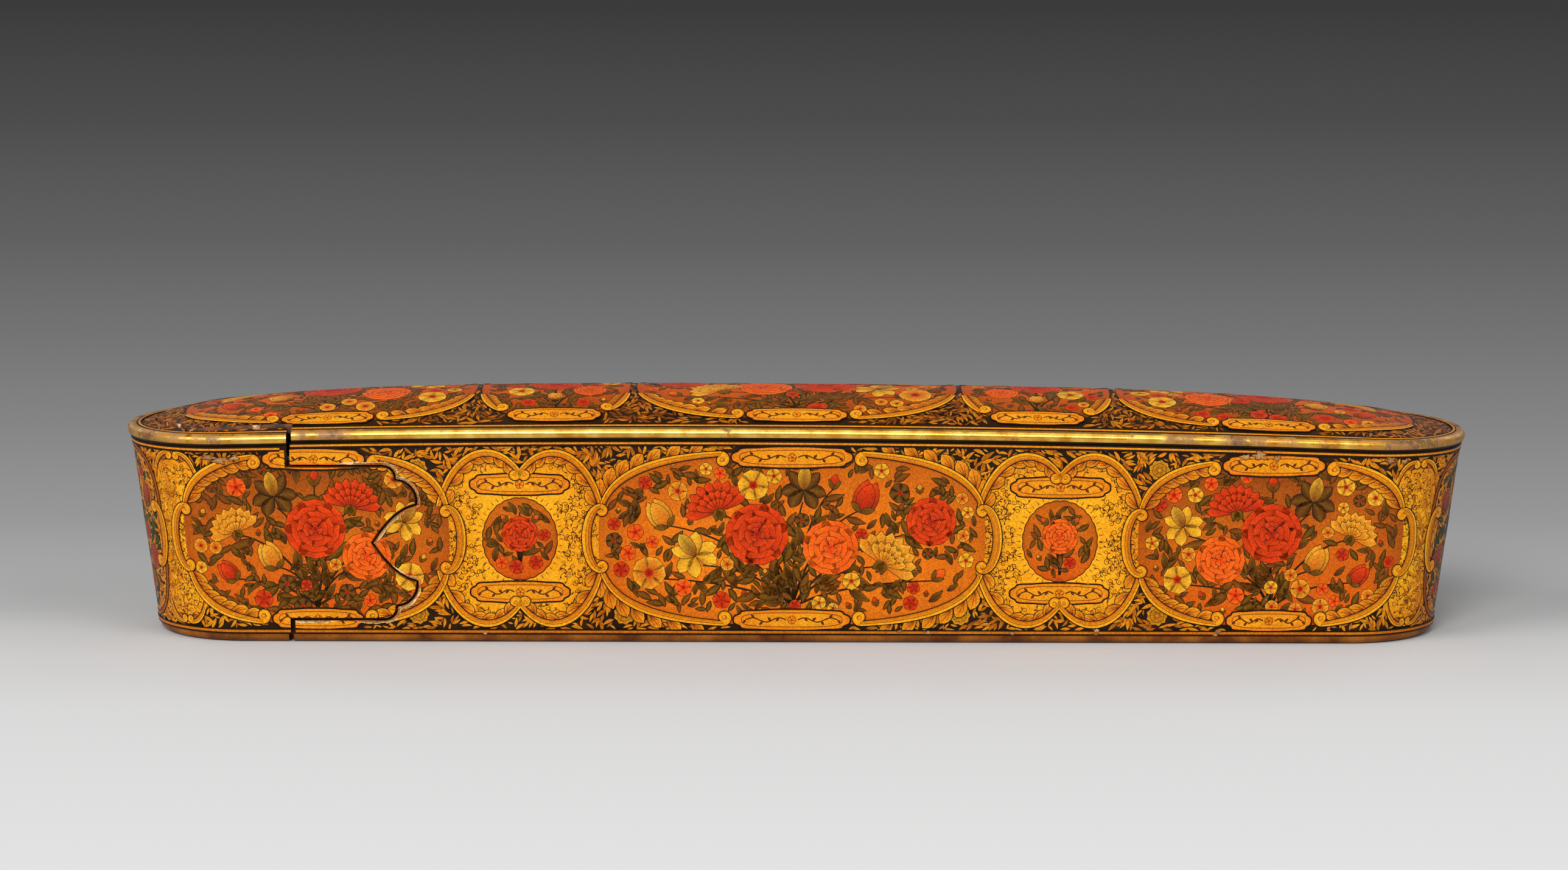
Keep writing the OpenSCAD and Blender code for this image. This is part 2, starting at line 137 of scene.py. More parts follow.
INK = tone("1C1004")
SEPIA = tone("4A2206")
BROWN = tone("73380A")
GOLD = tone("DE8C12", 0.15)
GOLD_LIGHT = tone("F4B020", 0.15)
GOLD_DEEP = tone("A65208", 0.1)
GOLD_PALE = tone("E69C1A", 0.15)
ORANGE = tone("D45A04", 0.05)
RED = tone("C02600")
RED_LIGHT = tone("E44A08")
RED_DARK = tone("6A1004")
CORAL = tone("EA741A")
OLIVE = tone("583A04")
OLIVE_LIGHT = tone("8A5E0A")
GREEN_DARK = tone("2A1C02")
UMBER = tone("4E2A12")
UMBER_DARK = tone("342012")
CREAM = tone("F0BE3C")
AMBER = tone("C0620A")
AMBER_DARK = tone("82400A")
AMBER_LIGHT = tone("DA720C")
GESSO = tone("E2C09A")


def mix(a, b, share):
    return a + (b - a) * share


# Painting: strips of colour on a flat face


class Sheet:
    """A painted face, still flat: four-cornered strokes, each with its colours and its coat."""

    def __init__(self):
        self.corners, self.tones, self.coats = [], [], []

    def strip(self, columns, tones, coat):
        """Strokes between neighbouring columns of points, with a colour or colours for each column."""
        grid = np.array([np.asarray(c, complex) for c in columns])
        count = grid.shape[1]
        paint = np.array([np.broadcast_to(t, (count, 4)) for t in tones])
        corners = [grid[:-1, :-1], grid[1:, :-1], grid[1:, 1:], grid[:-1, 1:]]
        colours = [paint[:-1, :-1], paint[1:, :-1], paint[1:, 1:], paint[:-1, 1:]]
        self.corners.append(np.stack(corners, -1).reshape(-1, 4))
        self.tones.append(np.stack(colours, -2).reshape(-1, 4, 4))
        self.coats.append(np.full(len(self.corners[-1]), float(coat)))

    def gather(self):
        """All strokes that show, from the first coat to the last."""
        corners, tones, coats = (np.concatenate(x) for x in (self.corners, self.tones, self.coats))
        order = np.argsort(coats, kind="stable")
        order = order[~covered(corners[order], coats[order])]
        return corners[order], tones[order], coats[order]


def samples(corners):
    """Groups of like-sized strokes, by their numbers, each with spots about one unit apart inside them."""
    along = np.abs(corners[:, [1, 2]] - corners[:, [0, 3]]).max(1)
    across = np.abs(corners[:, [3, 2]] - corners[:, [0, 1]]).max(1)
    counts = 2 ** np.ceil(np.log2(np.maximum(1, np.stack([along, across], 1)))).astype(int)
    for pair in np.unique(counts, axis=0):
        group = np.flatnonzero((counts == pair).all(1))
        u, v = ((np.arange(n) + 0.5) / n for n in pair)
        u, v = (x.ravel() for x in np.meshgrid(u, v))
        yield group, corners[group] @ np.stack([(1 - u) * (1 - v), u * (1 - v), u * v, (1 - u) * v])


def covered(corners, coats):
    """Which strokes lie wholly under later coats, judged on a grid."""
    pitch = 0.1
    cells = (corners - complex(corners.real.min(), corners.imag.min())) / pitch + 1 + 1j
    top = np.full((int(cells.real.max()) + 2, int(cells.imag.max()) + 2), -1.0)
    for group, spots in samples(cells):
        np.maximum.at(top, (spots.real.astype(int), spots.imag.astype(int)), coats[group][:, None])
    for axis in (0, 1):
        top = np.minimum(top, np.minimum(np.roll(top, 1, axis), np.roll(top, -1, axis)))
    under = np.zeros(len(coats), bool)
    for group, spots in samples(cells):
        found = top[spots.real.astype(int), spots.imag.astype(int)]
        under[group] = (found > coats[group][:, None]).all(1)
    return under


class Room:
    """Which spots of a face are still bare, on a fine grid between two corners."""

    PITCH = 0.25

    def __init__(self, low, high):
        self.low = low
        span = high - low
        self.shape = int(span.real / self.PITCH) + 1, int(span.imag / self.PITCH) + 1
        across, up = np.meshgrid(np.arange(self.shape[0]), np.arange(self.shape[1]), indexing="ij")
        self.spots = low + self.PITCH * (across + 1j * up)
        self.bare = np.ones(self.shape, bool)

    def cells(self, points):
        place = (np.ravel(points) - self.low) / self.PITCH
        across = np.clip(np.rint(place.real).astype(int), 0, self.shape[0] - 1)
        up = np.clip(np.rint(place.imag).astype(int), 0, self.shape[1] - 1)
        return across, up

    def share(self, points):
        return self.bare[self.cells(points)].mean()

    def fill(self, points):
        self.bare[self.cells(points)] = False

    def fill_where(self, inside):
        self.bare &= ~inside(self.spots)

    def fill_round(self, middle, radius):
        self.fill_where(lambda p: np.abs(p - middle) < radius)

    def seeds(self, pitch):
        """Loose spots over the bare part of the face, about pitch apart, in random order."""
        step = max(1, int(pitch / self.PITCH))
        jitter = step // 2
        found = []
        for i in range(0, self.shape[0], step):
            for j in range(0, self.shape[1], step):
                across = min(self.shape[0] - 1, max(0, i + rng.randint(-jitter, jitter)))
                up = min(self.shape[1] - 1, max(0, j + rng.randint(-jitter, jitter)))
                if self.bare[across, up]:
                    found.append(self.spots[across, up])
        rng.shuffle(found)
        return found


def heading(degrees):
    return cmath.rect(1, math.radians(degrees))


def unit(step):
    return step / abs(step)


def bend(a, pull, b, steps):
    """A curve from a to b, drawn towards a third point."""
    t = np.linspace(0, 1, steps + 1)
    return a * (1 - t) ** 2 + 2 * pull * t * (1 - t) + b * t**2


def sides(path):
    """Unit steps to the left of a path at each of its points."""
    step = np.gradient(np.asarray(path, complex))
    return 1j * step / np.maximum(np.abs(step), 1e-9)


def ribbon(sheet, path, width, colour, coat, far=None):
    """A stroke along a path. Its width is one number or one for each point."""
    path = np.asarray(path, complex)
    reach = sides(path) * np.asarray(width) / 2
    sheet.strip([path + reach, path - reach], [colour, colour if far is None else far], coat)


def blade_axis(root, arm, lean, steps):
    t = np.linspace(0, 1, steps + 1)
    return t, root + arm * (t + 1j * lean * t**2)


def blade(sheet, root, arm, width, tones, coat, lean=0.0, belly=0.45, blunt=1.0, line=0.09, steps=7):
    """A leaf or petal along an arm: tones at its root, tip and vein, widest at belly, in an ink line."""
    t, axis = blade_axis(root, arm, lean, steps)
    swell = np.sin(math.pi * t ** (math.log(0.5) / math.log(belly)))
    half = np.maximum(swell, 0) ** blunt * width / 2 + 0.015
    left = sides(axis)
    if line:
        ends = np.zeros(len(t))
        ends[0], ends[-1] = -line, line
        rim_path = axis + ends * arm / abs(arm)
        for side in (left, -left):
            sheet.strip([rim_path + side * (half + line), axis + side * half * 0.8], [INK, INK], coat)
    root_tone, tip_tone, vein = tones
    edge = mix(root_tone, tip_tone, t[:, None])
    shade = mix(edge, root_tone, 0.35)
    columns = axis + left * half, axis, axis - left * half
    sheet.strip(columns, [edge, mix(edge, vein, 0.55), shade], coat + 1)


def disc(sheet, centre, radius, tones, coat, count=14, rings=2):
    """A round spot, from the first tone in its middle to the second at its edge."""
    turn = np.exp(1j * np.linspace(0, 2 * math.pi, count + 1))
    shares = np.linspace(0.03, 1, rings + 1)
    columns = [centre + radius * s * turn for s in shares]
    sheet.strip(columns, [mix(tones[0], tones[1], s) for s in shares], coat)


def curl(start, way, size, hand, shrink, steps):
    """A path that winds in to the left (hand 1) or right (hand -1) of its way, round a middle."""
    middle = start + 1j * hand * way * size
    t = np.linspace(0, 1, steps + 1)
    return t, middle, middle + (start - middle) * (1 - shrink * t) * np.exp(2.5j * math.pi * hand * t)


# Flowers of the usual kinds: each has a middle, an arm for its size and way, a coat and three colours

SEPAL = OLIVE, OLIVE_LIGHT, OLIVE


def rose(sheet, middle, arm, coat, hues):
    size = abs(arm)
    for ring, (share, count) in enumerate(((1.0, 6), (0.8, 5), (0.6, 5), (0.4, 4), (0.24, 3))):
        for k in range(count):
            out = arm * share * heading(360 * k / count + 31 * ring)
            width = size * share * (1.16 if ring < 4 else 0.9)
            blade(sheet, middle + 0.12 * out, 0.88 * out, width, hues, coat + 2 * ring, belly=0.7, blunt=0.45)
    disc(sheet, middle, 0.1 * size, (hues[0], hues[2]), coat + 11)


def blossom(sheet, middle, arm, coat, hues):
    size = abs(arm)
    for k in range(5):
        out = arm * heading(72 * k)
        blade(sheet, middle + 0.15 * out, 0.85 * out, 1.1 * size, hues, coat, belly=0.62, blunt=0.55, steps=5)
    disc(sheet, middle, 0.26 * size, (RED_DARK, RED), coat + 3, count=9, rings=1)


def tulip(sheet, middle, arm, coat, hues):
    foot, size = middle - 0.6 * arm, abs(arm)
    for turn, lean in ((26, -0.35), (-26, 0.35)):
        blade(sheet, foot, 1.35 * arm * heading(turn), 0.7 * size, hues, coat, lean, belly=0.42, blunt=0.7)
    blade(sheet, foot, 1.3 * arm, 0.75 * size, hues, coat + 2, belly=0.45, blunt=0.7)
    for turn in (60, -60):
        blade(sheet, foot, 0.6 * arm * heading(turn), 0.25 * size, SEPAL, coat + 4)


def carnation(sheet, middle, arm, coat, hues):
    foot, size = middle - 0.45 * arm, abs(arm)
    for ring, (share, count, fan) in enumerate(((1.35, 9, 150), (0.95, 7, 110), (0.6, 5, 70))):
        for k in range(count):
            out = arm * share * heading(fan * (k / (count - 1) - 0.5))
            width = 2 * size * share * math.tan(math.radians(fan / (count - 1)) / 2) * 0.95
            blade(sheet, foot, out, width, hues, coat + 2 * ring, belly=0.74, blunt=0.6, steps=6)
    for turn in (155, 180, 205):
        leaf = 0.5 * arm * heading(turn)
        blade(sheet, foot + 0.15 * arm, leaf, 0.3 * size, (OLIVE_LIGHT, OLIVE, OLIVE), coat + 6)


def iris(sheet, middle, arm, coat, hues):
    size = abs(arm)
    for turn, lean in ((75, 0.5), (-75, -0.5), (125, 0.4), (-125, -0.4)):
        blade(sheet, middle, 0.85 * arm * heading(turn), 0.55 * size, hues, coat, lean, belly=0.6, blunt=0.6)
    for turn in (38, -38):
        blade(sheet, middle, arm * heading(turn), 0.5 * size, hues, coat + 2, belly=0.55, blunt=0.6)
    blade(sheet, middle, 1.1 * arm, 0.55 * size, (AMBER_DARK, CREAM, UMBER), coat + 4, belly=0.5, blunt=0.6)


def bud(sheet, middle, arm, coat, hues):
    foot, size = middle - 0.5 * arm, abs(arm)
    blade(sheet, foot, arm, 0.55 * size, hues, coat, belly=0.5, blunt=0.7, steps=5)
    for turn in (32, -32):
        blade(sheet, foot, 0.7 * arm * heading(turn), 0.24 * size, SEPAL, coat + 2, steps=5)


FLOWERS = {"rose": rose, "blossom": blossom, "tulip": tulip, "carnation": carnation, "iris": iris, "bud": bud}
HUES = {
    "red": (RED_DARK, RED_LIGHT, RED),
    "coral": (RED, CORAL, RED_LIGHT),
    "gold": (GOLD_DEEP, CREAM, ORANGE),
    "cream": (AMBER_DARK, CREAM, GOLD_LIGHT),
    "umber": (INK, UMBER, OLIVE_LIGHT),
    "rosy": (RED_DARK, tone("AE4E2A"), tone("8A2C14")),
}
SMALL_HUES = ("red", "red", "coral", "gold", "cream", "umber")
END_SMALL_HUES = ("rosy", "rosy", "umber")
LEAF_TONES = (
    (GREEN_DARK, OLIVE, OLIVE_LIGHT),
    (SEPIA, OLIVE_LIGHT, GREEN_DARK),
    (SEPIA, BROWN, OLIVE_LIGHT),
)
END_LEAF_TONES = (
    (INK, tone("26381A"), tone("56661E")),
    (INK, tone("3E4E18"), tone("1E2C14")),
    (INK, tone("1E2C14"), tone("3E4E18")),
)


def leafy_stem(sheet, room, a, pull, b, coat, leaf=4.2, gap=3.0, tones=LEAF_TONES):
    """A stem with leaves to both sides, where there is room for them."""
    path = bend(a, pull, b, 18)
    ribbon(sheet, path, np.linspace(0.5, 0.25, 19), GREEN_DARK, coat)
    length = np.abs(np.diff(path)).sum()
    count = max(2, int(length / gap))
    for k in range(1, count):
        at = int(18 * k / count)
        way = unit(path[at + 1] - path[at])
        hand = 1 if k % 2 else -1
        arm = way * heading(hand * rng.uniform(38, 62)) * leaf * rng.uniform(0.75, 1.2)
        place_leaf(sheet, room, path[at], arm, abs(arm) * 0.36, rng.choice(tones), coat + 1, -0.22 * hand)


def place_leaf(sheet, room, root, arm, width, tones, coat, lean, need=0.75, **shape):
    """A leaf, if enough of its spots are bare; then they are taken."""
    axis = blade_axis(root, arm, lean, 6)[1]
    reach = sides(axis) * width * 0.3
    spots = np.concatenate([axis[2:], axis[2:-1] + reach[2:-1], axis[2:-1] - reach[2:-1]])
    if room.share(spots) < need:
        return False
    blade(sheet, root, arm, width, tones, coat, lean, **shape)
    room.fill(spots)
    return True


# Shapes that the panels have


def cushion(middle, a, b, power=3.0, steps=80):
    """The upper edge of a full, round-cornered panel, from the right, and a test of what is inside it."""
    turn = np.linspace(0, math.pi, steps + 1)
    across = np.sign(np.cos(turn)) * np.abs(np.cos(turn)) ** (2 / power)
    up = np.abs(np.sin(turn)) ** (2 / power)

    def inside(p, grow=0.0):
        d = p - middle
        return np.abs(d.real / (a + grow)) ** power + np.abs(d.imag / (b + grow)) ** power < 1

    return a * across + 1j * b * up, inside


def double_lobe(middle, a, b, apart):
    """A panel of two upright lobes side by side, with a cusp above and below."""
    wide = a - apart
    turn = np.linspace(0, math.acos(-apart / wide), 41)
    right = apart + wide * np.cos(turn) + 1j * b * np.sin(turn)
    edge = np.concatenate([right, -right.conj()[-2::-1]])

    def inside(p, grow=0.0):
        d = p - middle
        near = np.abs(d.real) - apart
        return (near / (wide + grow)) ** 2 + (d.imag / (b + grow)) ** 2 < 1

    return edge, inside


def room_in(middle, a, b, inside, margin):
    """The bare room in a panel, up to a margin from its edge."""
    room = Room(middle - complex(a, b), middle + complex(a, b))
    room.fill_where(lambda p: ~inside(p, -margin))
    return room


def all_round(middle, edge):
    """The closed outline of a panel with this upper edge, and the same edge below."""
    return middle + np.concatenate([edge, edge.conj()[-2::-1]])


def ground(sheet, middle, edge, colour, coat, steps=12):
    """The painted ground of a panel with this upper edge. colour(points, share) gives its colours;
    share is 0 in the middle and 1 at the edge."""
    reach = edge.real.max(), edge.imag.max()
    columns, tones = [], []
    for corner in edge:
        spots = corner.real + 1j * corner.imag * np.linspace(-1, 1, steps + 1)
        share = np.minimum(1, np.hypot((spots.real / reach[0]) ** 2, (spots.imag / reach[1]) ** 2) ** 0.5)
        columns.append(middle + spots)
        tones.append(colour(columns[-1], share[:, None]))
    sheet.strip(columns, tones, coat)


def dusk(low, high, top, middle, bottom):
    """A ground that goes from one colour at its foot through a second to a third, darker at its edge."""

    def colour(points, share):
        t = np.clip((points.imag - low) / (high - low), 0, 1)[:, None]
        tint = np.where(t < 0.5, mix(bottom, middle, 2 * t), mix(middle, top, 2 * t - 1))
        return tint * (1 - 0.3 * share**6)

    return colour


def mirrors():
    """The four quarters: a turn of a point into that quarter, and its hand."""
    for across in (1, -1):
        for up in (1, -1):
            yield (lambda p, a=across, u=up: a * np.real(p) + 1j * u * np.imag(p)), across * up


# Gilt ornament


def volute(sheet, end, way, size, hand, width, coat):
    """The curled end of a scroll, with a boss in its eye."""
    t, middle, path = curl(end, way, size, hand, 0.72, 22)
    taper = width * (1 - 0.55 * t)
    left, right = (GOLD_LIGHT, GOLD) if hand > 0 else (GOLD, GOLD_LIGHT)
    ribbon(sheet, path, taper + 0.34, INK, coat)
    ribbon(sheet, path, taper, left, coat + 1, right)
    disc(sheet, middle, size * 0.42, (GOLD_LIGHT, GOLD_DEEP), coat + 2, count=10, rings=1)


def scroll(sheet, path, width, coat, hand, last, lobes=(), first=0):
    """A gilt acanthus scroll along a path: a row of leaves, a shaded stem and curls at its ends.
    hand is the side that it curls to; last and first are the sizes of its curls. A lobe has its
    place along the path, its side (1 for the hand's), its size and its turn away from the stem."""
    path = np.asarray(path, complex)
    t = np.linspace(0, 1, len(path))
    left = sides(path)
    wide = width * (0.5 + 0.5 * np.sin(math.pi * np.clip(0.1 + 0.8 * t, 0, 1)))
    for n, (place, side, size, turn) in enumerate(lobes):
        at = int(place * (len(path) - 1))
        arm = -1j * left[at] * heading(turn * side * hand) * size
        root = path[at] + left[at] * side * hand * wide[at] * 0.2
        lean = -0.16 * side * hand
        tones = GOLD_DEEP, GOLD_LIGHT, ORANGE
        blade(sheet, root, arm, size * 0.56, tones, coat - 2 * n, lean, belly=0.58, blunt=0.75, line=0.13)
        for share, spread in ((0.8, 0), (0.6, 16), (0.6, -16)):
            vein = blade_axis(root + 0.15 * arm, arm * share * heading(spread), lean, 5)[1]
            ribbon(sheet, vein, np.linspace(0.2, 0.05, 6), BROWN, coat - 2 * n + 1.5)
    ribbon(sheet, path, wide + 0.34, INK, coat + 2)
    edge = left * wide / 2
    columns = [path - edge * hand * s for s in (1, 0.3, 0.1, -1)]
    sheet.strip(columns, (GOLD_LIGHT, GOLD_PALE, GOLD, mix(GOLD, GOLD_DEEP, 0.7)), coat + 3)
    ribbon(sheet, path - edge * 0.2 * hand, 0.09, BROWN, coat + 4)
    if first:
        volute(sheet, path[0], 1j * left[0], first, -hand, wide[0], coat + 2)
    volute(sheet, path[-1], -1j * left[-1], last, hand, wide[-1], coat + 2)


def bracket(sheet, middle, height, bulge, coat):
    """An upright gilt C, curled in at both ends; bulge is how far it swells, and to which side."""
    turn = np.linspace(-math.pi / 2, math.pi / 2, 33)
    path = middle + bulge * (np.cos(turn) - 0.4) + 1j * height / 2 * np.sin(turn)
    hand = 1 if bulge > 0 else -1
    scroll(sheet, path, 1.5, coat, hand, 0.75, first=0.75)
    ribbon(sheet, path - sides(path) * 0.35, 0.09, BROWN, coat + 5)


def plate(sheet, room, middle, a, b, coat):
    """A small gilt plate in an ink line, with a plain scroll-and-rosette filling."""
    edge = cushion(middle, a, b, 3.6, 48)[0]
    edge = edge * (1 + 0.035 * np.cos(np.linspace(0, math.pi, len(edge)) * 8))
    ribbon(sheet, all_round(middle, edge), 0.6, INK, coat)
    ground(sheet, middle, edge, lambda p, s: mix(GOLD_PALE, ORANGE, 0.55 * s**3), coat + 1, steps=6)
    inner = cushion(middle, a * 0.9, b * 0.74, 3.2, 48)[0]
    ribbon(sheet, all_round(middle, inner), 0.13, BROWN, coat + 2)
    blossom(sheet, middle, 0.42 * b * heading(90), coat + 2, (GOLD_DEEP, ORANGE, GOLD_LIGHT))
    for hand in (1, -1):
        vine = middle + hand * np.linspace(0.6 * b, 0.82 * a, 25)
        vine = vine + 1j * 0.22 * b * np.sin(np.linspace(0, 3 * math.pi, 25))
        ribbon(sheet, vine, 0.22, SEPIA, coat + 2)
        for k in (4, 9, 14, 19, 24):
            up = 1 if (k // 5) % 2 else -1
            arm = hand * heading(hand * up * 48) * 0.5 * b
            blade(sheet, vine[k], arm, 0.26 * b, (SEPIA, BROWN, SEPIA), coat + 2, line=0, steps=4)
    room.fill_where(cushion(middle, a + 0.8, b + 0.7, 3.6)[1])


def tendrils(sheet, room, coat):
    """Fine ink vines and small leaves over a gilt ground, where it is bare."""
    for seed in room.seeds(0.75):
        way = heading(rng.uniform(0, 360))
        hand = rng.choice((1, -1))
        size = rng.uniform(0.34, 0.62)
        ring = seed + 1j * hand * way * size + size * np.exp(1j * np.linspace(0, 6.28, 11))
        if room.share(ring) < 0.85:
            continue
        room.fill(ring)
        t, _, path = curl(seed, way, size, hand, 0.8, 13)
        ribbon(sheet, path, 0.13 * (1 - 0.5 * t), SEPIA, coat)
        tail = bend(seed, seed - way * 0.7, seed - way * 1.5 * heading(hand * 35), 5)
        ribbon(sheet, tail, np.linspace(0.13, 0.06, 6), SEPIA, coat)
        for root, arm in ((seed, way * heading(-hand * 50)), (tail[3], -way * heading(hand * 70))):
            blade(sheet, root, arm * 0.55, 0.22, (SEPIA, BROWN, SEPIA), coat, line=0, steps=4)


FOLIAGE_TONES = (
    (GOLD_DEEP, GOLD_LIGHT, GOLD),
    (GOLD, GOLD_PALE, GOLD_DEEP),
    (GOLD_DEEP, GOLD, OLIVE),
)
# Darker gilt for the top's leaves: partly its own duller gilt, partly painted shade that darkens the top
TOP_GILT_AND_SHADE_TONES = (
    (BROWN, GOLD, GOLD_DEEP),
    (GOLD_DEEP, GOLD_PALE, BROWN),
    (SEPIA, GOLD_DEEP, OLIVE),
)


def foliage(sheet, room, coat, tones=FOLIAGE_TONES):
    """Dense gilt leaf sprigs over a black ground, where it is bare, then single leaves between them."""
    for seed in room.seeds(2.4):
        way = heading(rng.uniform(0, 360))
        hand = rng.choice((1, -1))
        size = rng.uniform(1.5, 2.3)
        stem = bend(seed, seed + way * size, seed + way * heading(hand * 40) * size * 2, 6)
        if room.share(stem) == 1:
            ribbon(sheet, stem, 0.15, GOLD_DEEP, coat)
        for k in range(7):
            along = stem[min(k + 1, 6)] - stem[max(k - 1, 0)]
            for side in (1, -1):
                arm = unit(along) * heading(side * rng.uniform(26, 52)) * size * rng.uniform(0.7, 1.15)
                gilt_leaf(sheet, room, stem[k], arm, coat, -0.35 * side, tones)
    for least, most in ((1.6, 2.4), (1.2, 1.8), (0.9, 1.3)):
        for seed in room.seeds(0.75):
            arm = heading(rng.uniform(0, 360)) * rng.uniform(least, most)
            gilt_leaf(sheet, room, seed, arm, coat, rng.uniform(-0.5, 0.5), tones)


def gilt_leaf(sheet, room, root, arm, coat, lean, tones):
    """One leaf of the foliage, where there is room."""
    colours, layer = rng.choice(tones), coat + rng.randint(0, 2)
    place_leaf(sheet, room, root, arm, abs(arm) * 0.28, colours, layer, lean, 0.85, line=0, steps=5)


def palmettes(sheet, room, spots, coat, size):
    """Gilt peonies in outline among the foliage."""
    hues = GOLD_DEEP, GOLD_LIGHT, OLIVE
    for spot in spots:
        for ring, (share, count) in enumerate(((1.0, 9), (0.62, 6))):
            for k in range(count):
                out = size * share * heading(360 * k / count + 20 * ring)
                width = 2 * size * share * math.tan(math.pi / count) * 0.8
                root, petal = spot + 0.15 * out, 0.85 * out
                blade(sheet, root, petal, width, hues, coat + 2 * ring, belly=0.64, blunt=0.6, steps=5)
        disc(sheet, spot, 0.2 * size, (GOLD_LIGHT, GOLD_DEEP), coat + 5, count=8, rings=1)
        room.fill_round(spot, size * 1.05)


# Panels


def leaf_row(side, size):
    """Lobes along one side of a scroll."""
    return [(place, side, size * (1 - 0.3 * place), 34 + 8 * place) for place in np.linspace(0.86, 0.02, 7)]


TINTS, BRIGHT_TINTS = (AMBER_DARK, AMBER, ORANGE), (AMBER, AMBER_LIGHT, AMBER_LIGHT)


def flower_panel(sheet, room, middle, a, b, heads, coat, plates, leaf_side, tints, steps=12):
    """A large cartouche: a flower spray on an amber ground in four gilt scrolls and two plates."""
    edge, inside = cushion(middle, a, b)
    low, high = middle.imag - b, middle.imag + b
    ground(sheet, middle, edge, dusk(low, high, *tints), 2.5, steps)
    spray(sheet, middle, a, b, inside, heads, coat)
    frame_panel(sheet, middle, a, b, coat + 24, plates, leaf_side)
    room.fill_where(lambda p: inside(p, 0.2))
    for up, share in ((1, plates[0]), (-1, plates[1])):
        plate(sheet, room, middle + 1j * up * (b - 0.9), share * a, 1.75, coat + 30)


def spray(sheet, middle, a, b, inside, heads, coat, tones=LEAF_TONES, small=SMALL_HUES):
    """Flowers on stems from one root, with small flowers and leaves between them."""
    space = room_in(middle, a, b, inside, 1.2)
    root = middle - 1j * b * 0.8
    placed = []
    for kind, hue, across, up, size in heads:
        spot = middle + across * a + 1j * up * b
        way = unit(unit(spot - root) + 0.7j)
        placed.append((kind, hue, spot, way, size))
        space.fill_round(spot, size * 0.92)
    for _, _, spot, way, size in placed:
        pull = complex(mix(root.real, spot.real, 0.3), mix(root.imag, spot.imag, 0.75))
        leafy_stem(sheet, space, root, pull, spot - way * size * 0.5, coat, tones=tones)
    for kind, hue, spot, way, size in placed:
        FLOWERS[kind](sheet, spot, way * size, coat + 4, HUES[hue])
    fill_with_leaves(sheet, space, coat + 1, tones, small)


def fill_with_leaves(sheet, space, coat, tones=LEAF_TONES, small=SMALL_HUES):
    """Small flowers, then leaves, in what is left of a panel's ground."""
    for seed in space.seeds(2.0):
        size = rng.uniform(1.0, 1.9)
        ring = seed + size * np.exp(1j * np.linspace(0, 6.28, 12))
        if space.share(np.append(ring, seed)) > 0.97:
            kind = rng.choice((blossom, blossom, bud))
            hue = rng.choice(small)
            kind(sheet, seed, size * heading(rng.uniform(50, 130)), coat + 2, HUES[hue])
            space.fill_round(seed, size * 1.05)
    for seed in space.seeds(1.0):
        for turn in (rng.uniform(20, 160), rng.uniform(0, 360)):
            arm = heading(turn) * rng.uniform(1.6, 3.2)
            colours, lean = rng.choice(tones), rng.uniform(-0.3, 0.3)
            if place_leaf(sheet, space, seed, arm, abs(arm) * 0.38, colours, coat, lean, 0.9):
                break


def frame_panel(sheet, middle, a, b, coat, plates, leaf_side):
    """Four gilt scrolls round a large cartouche."""
    leaves = leaf_row(leaf_side, min(4.4, 0.28 * a))
    for place, hand in mirrors():
        share = plates[0] if place(1j).imag > 0 else plates[1]
        start, end = math.radians(15), math.acos(min(0.98, (share + 2.2 / a) ** 1.5))
        turn = np.linspace(start, end, 44)
        arc = a * np.cos(turn) ** (2 / 3) + 1j * b * np.sin(turn) ** (2 / 3)
        scroll(sheet, middle + place(arc), 1.25, coat, hand, 1.1, leaves)


def medallion(sheet, room, middle, a, b, coat, hue):
    """A two-lobed gilt panel of fine tendrils, with an oval flower picture and two plates."""
    apart = 0.39 * a
    edge, inside = double_lobe(middle, a, b, apart)
    ground(sheet, middle, edge, lambda p, s: mix(GOLD_LIGHT, GOLD, s**3), 0)
    space = room_in(middle, a, b, inside, 0.9)
    oval(sheet, space, middle - 0.1j, 0.43 * a, 0.47 * b, coat + 2, hue)
    for up in (1, -1):
        plate(sheet, space, middle + 1j * up * 0.63 * b, 0.56 * a, 0.115 * b, coat + 2)
    tendrils(sheet, space, 1)
    meet = math.degrees(math.acos(-apart / (a - apart) * 0.97))
    for place, hand in mirrors():
        turn = np.radians(np.linspace(22, meet, 40))
        arc = apart + (a - apart) * np.cos(turn) + 1j * b * np.sin(turn)
        scroll(sheet, middle + place(arc), 1.2, coat + 24, hand, 0.9, leaf_row(1, 3.8))
    room.fill_where(lambda p: inside(p, 0.2))


def oval(sheet, space, middle, a, b, coat, hue):
    """A small oval picture of one rose, with a scalloped edge in a ring of dashes."""
    turn = np.linspace(0, math.pi, 73)
    edge = (a * np.cos(turn) + 1j * b * np.sin(turn)) * (1 + 0.02 * np.abs(np.sin(turn * 12)))
    ribbon(sheet, all_round(middle, edge), 0.32, INK, coat)
    ground(sheet, middle, edge, dusk(middle.imag - b, middle.imag + b, AMBER, AMBER, ORANGE), coat + 1)
    for k in range(44):
        way = heading(360 * k / 44)
        foot = middle + 1.09 * complex(a * way.real, b * way.imag)
        ribbon(sheet, foot + way * np.linspace(0, 0.75, 3), (0.16, 0.12, 0.05), BROWN, coat)
    inside = cushion(middle, a, b, 2)[1]
    space.fill_where(lambda p: inside(p, 1.5))
    root = middle - 0.85j * b
    free = room_in(middle, a, b, inside, 0.4)
    free.fill_round(middle + 0.12j * b, 0.5 * a)
    for turn in (40, -40, 0):
        way = heading(90 + turn)
        tip = middle + 0.66 * complex(a * way.real, b * way.imag)
        pull = mix(root, tip, 0.5) + 0.2 * turn / 40 * a
        leafy_stem(sheet, free, root, pull, tip, coat + 2, leaf=2.4, gap=1.7)
        if turn:
            bud(sheet, tip, 1.7 * way, coat + 4, (RED_DARK, CORAL, RED))
    rose(sheet, middle + 0.12j * b, 0.5 * a * heading(90), coat + 5, HUES[hue])
    fill_with_leaves(sheet, free, coat + 2)


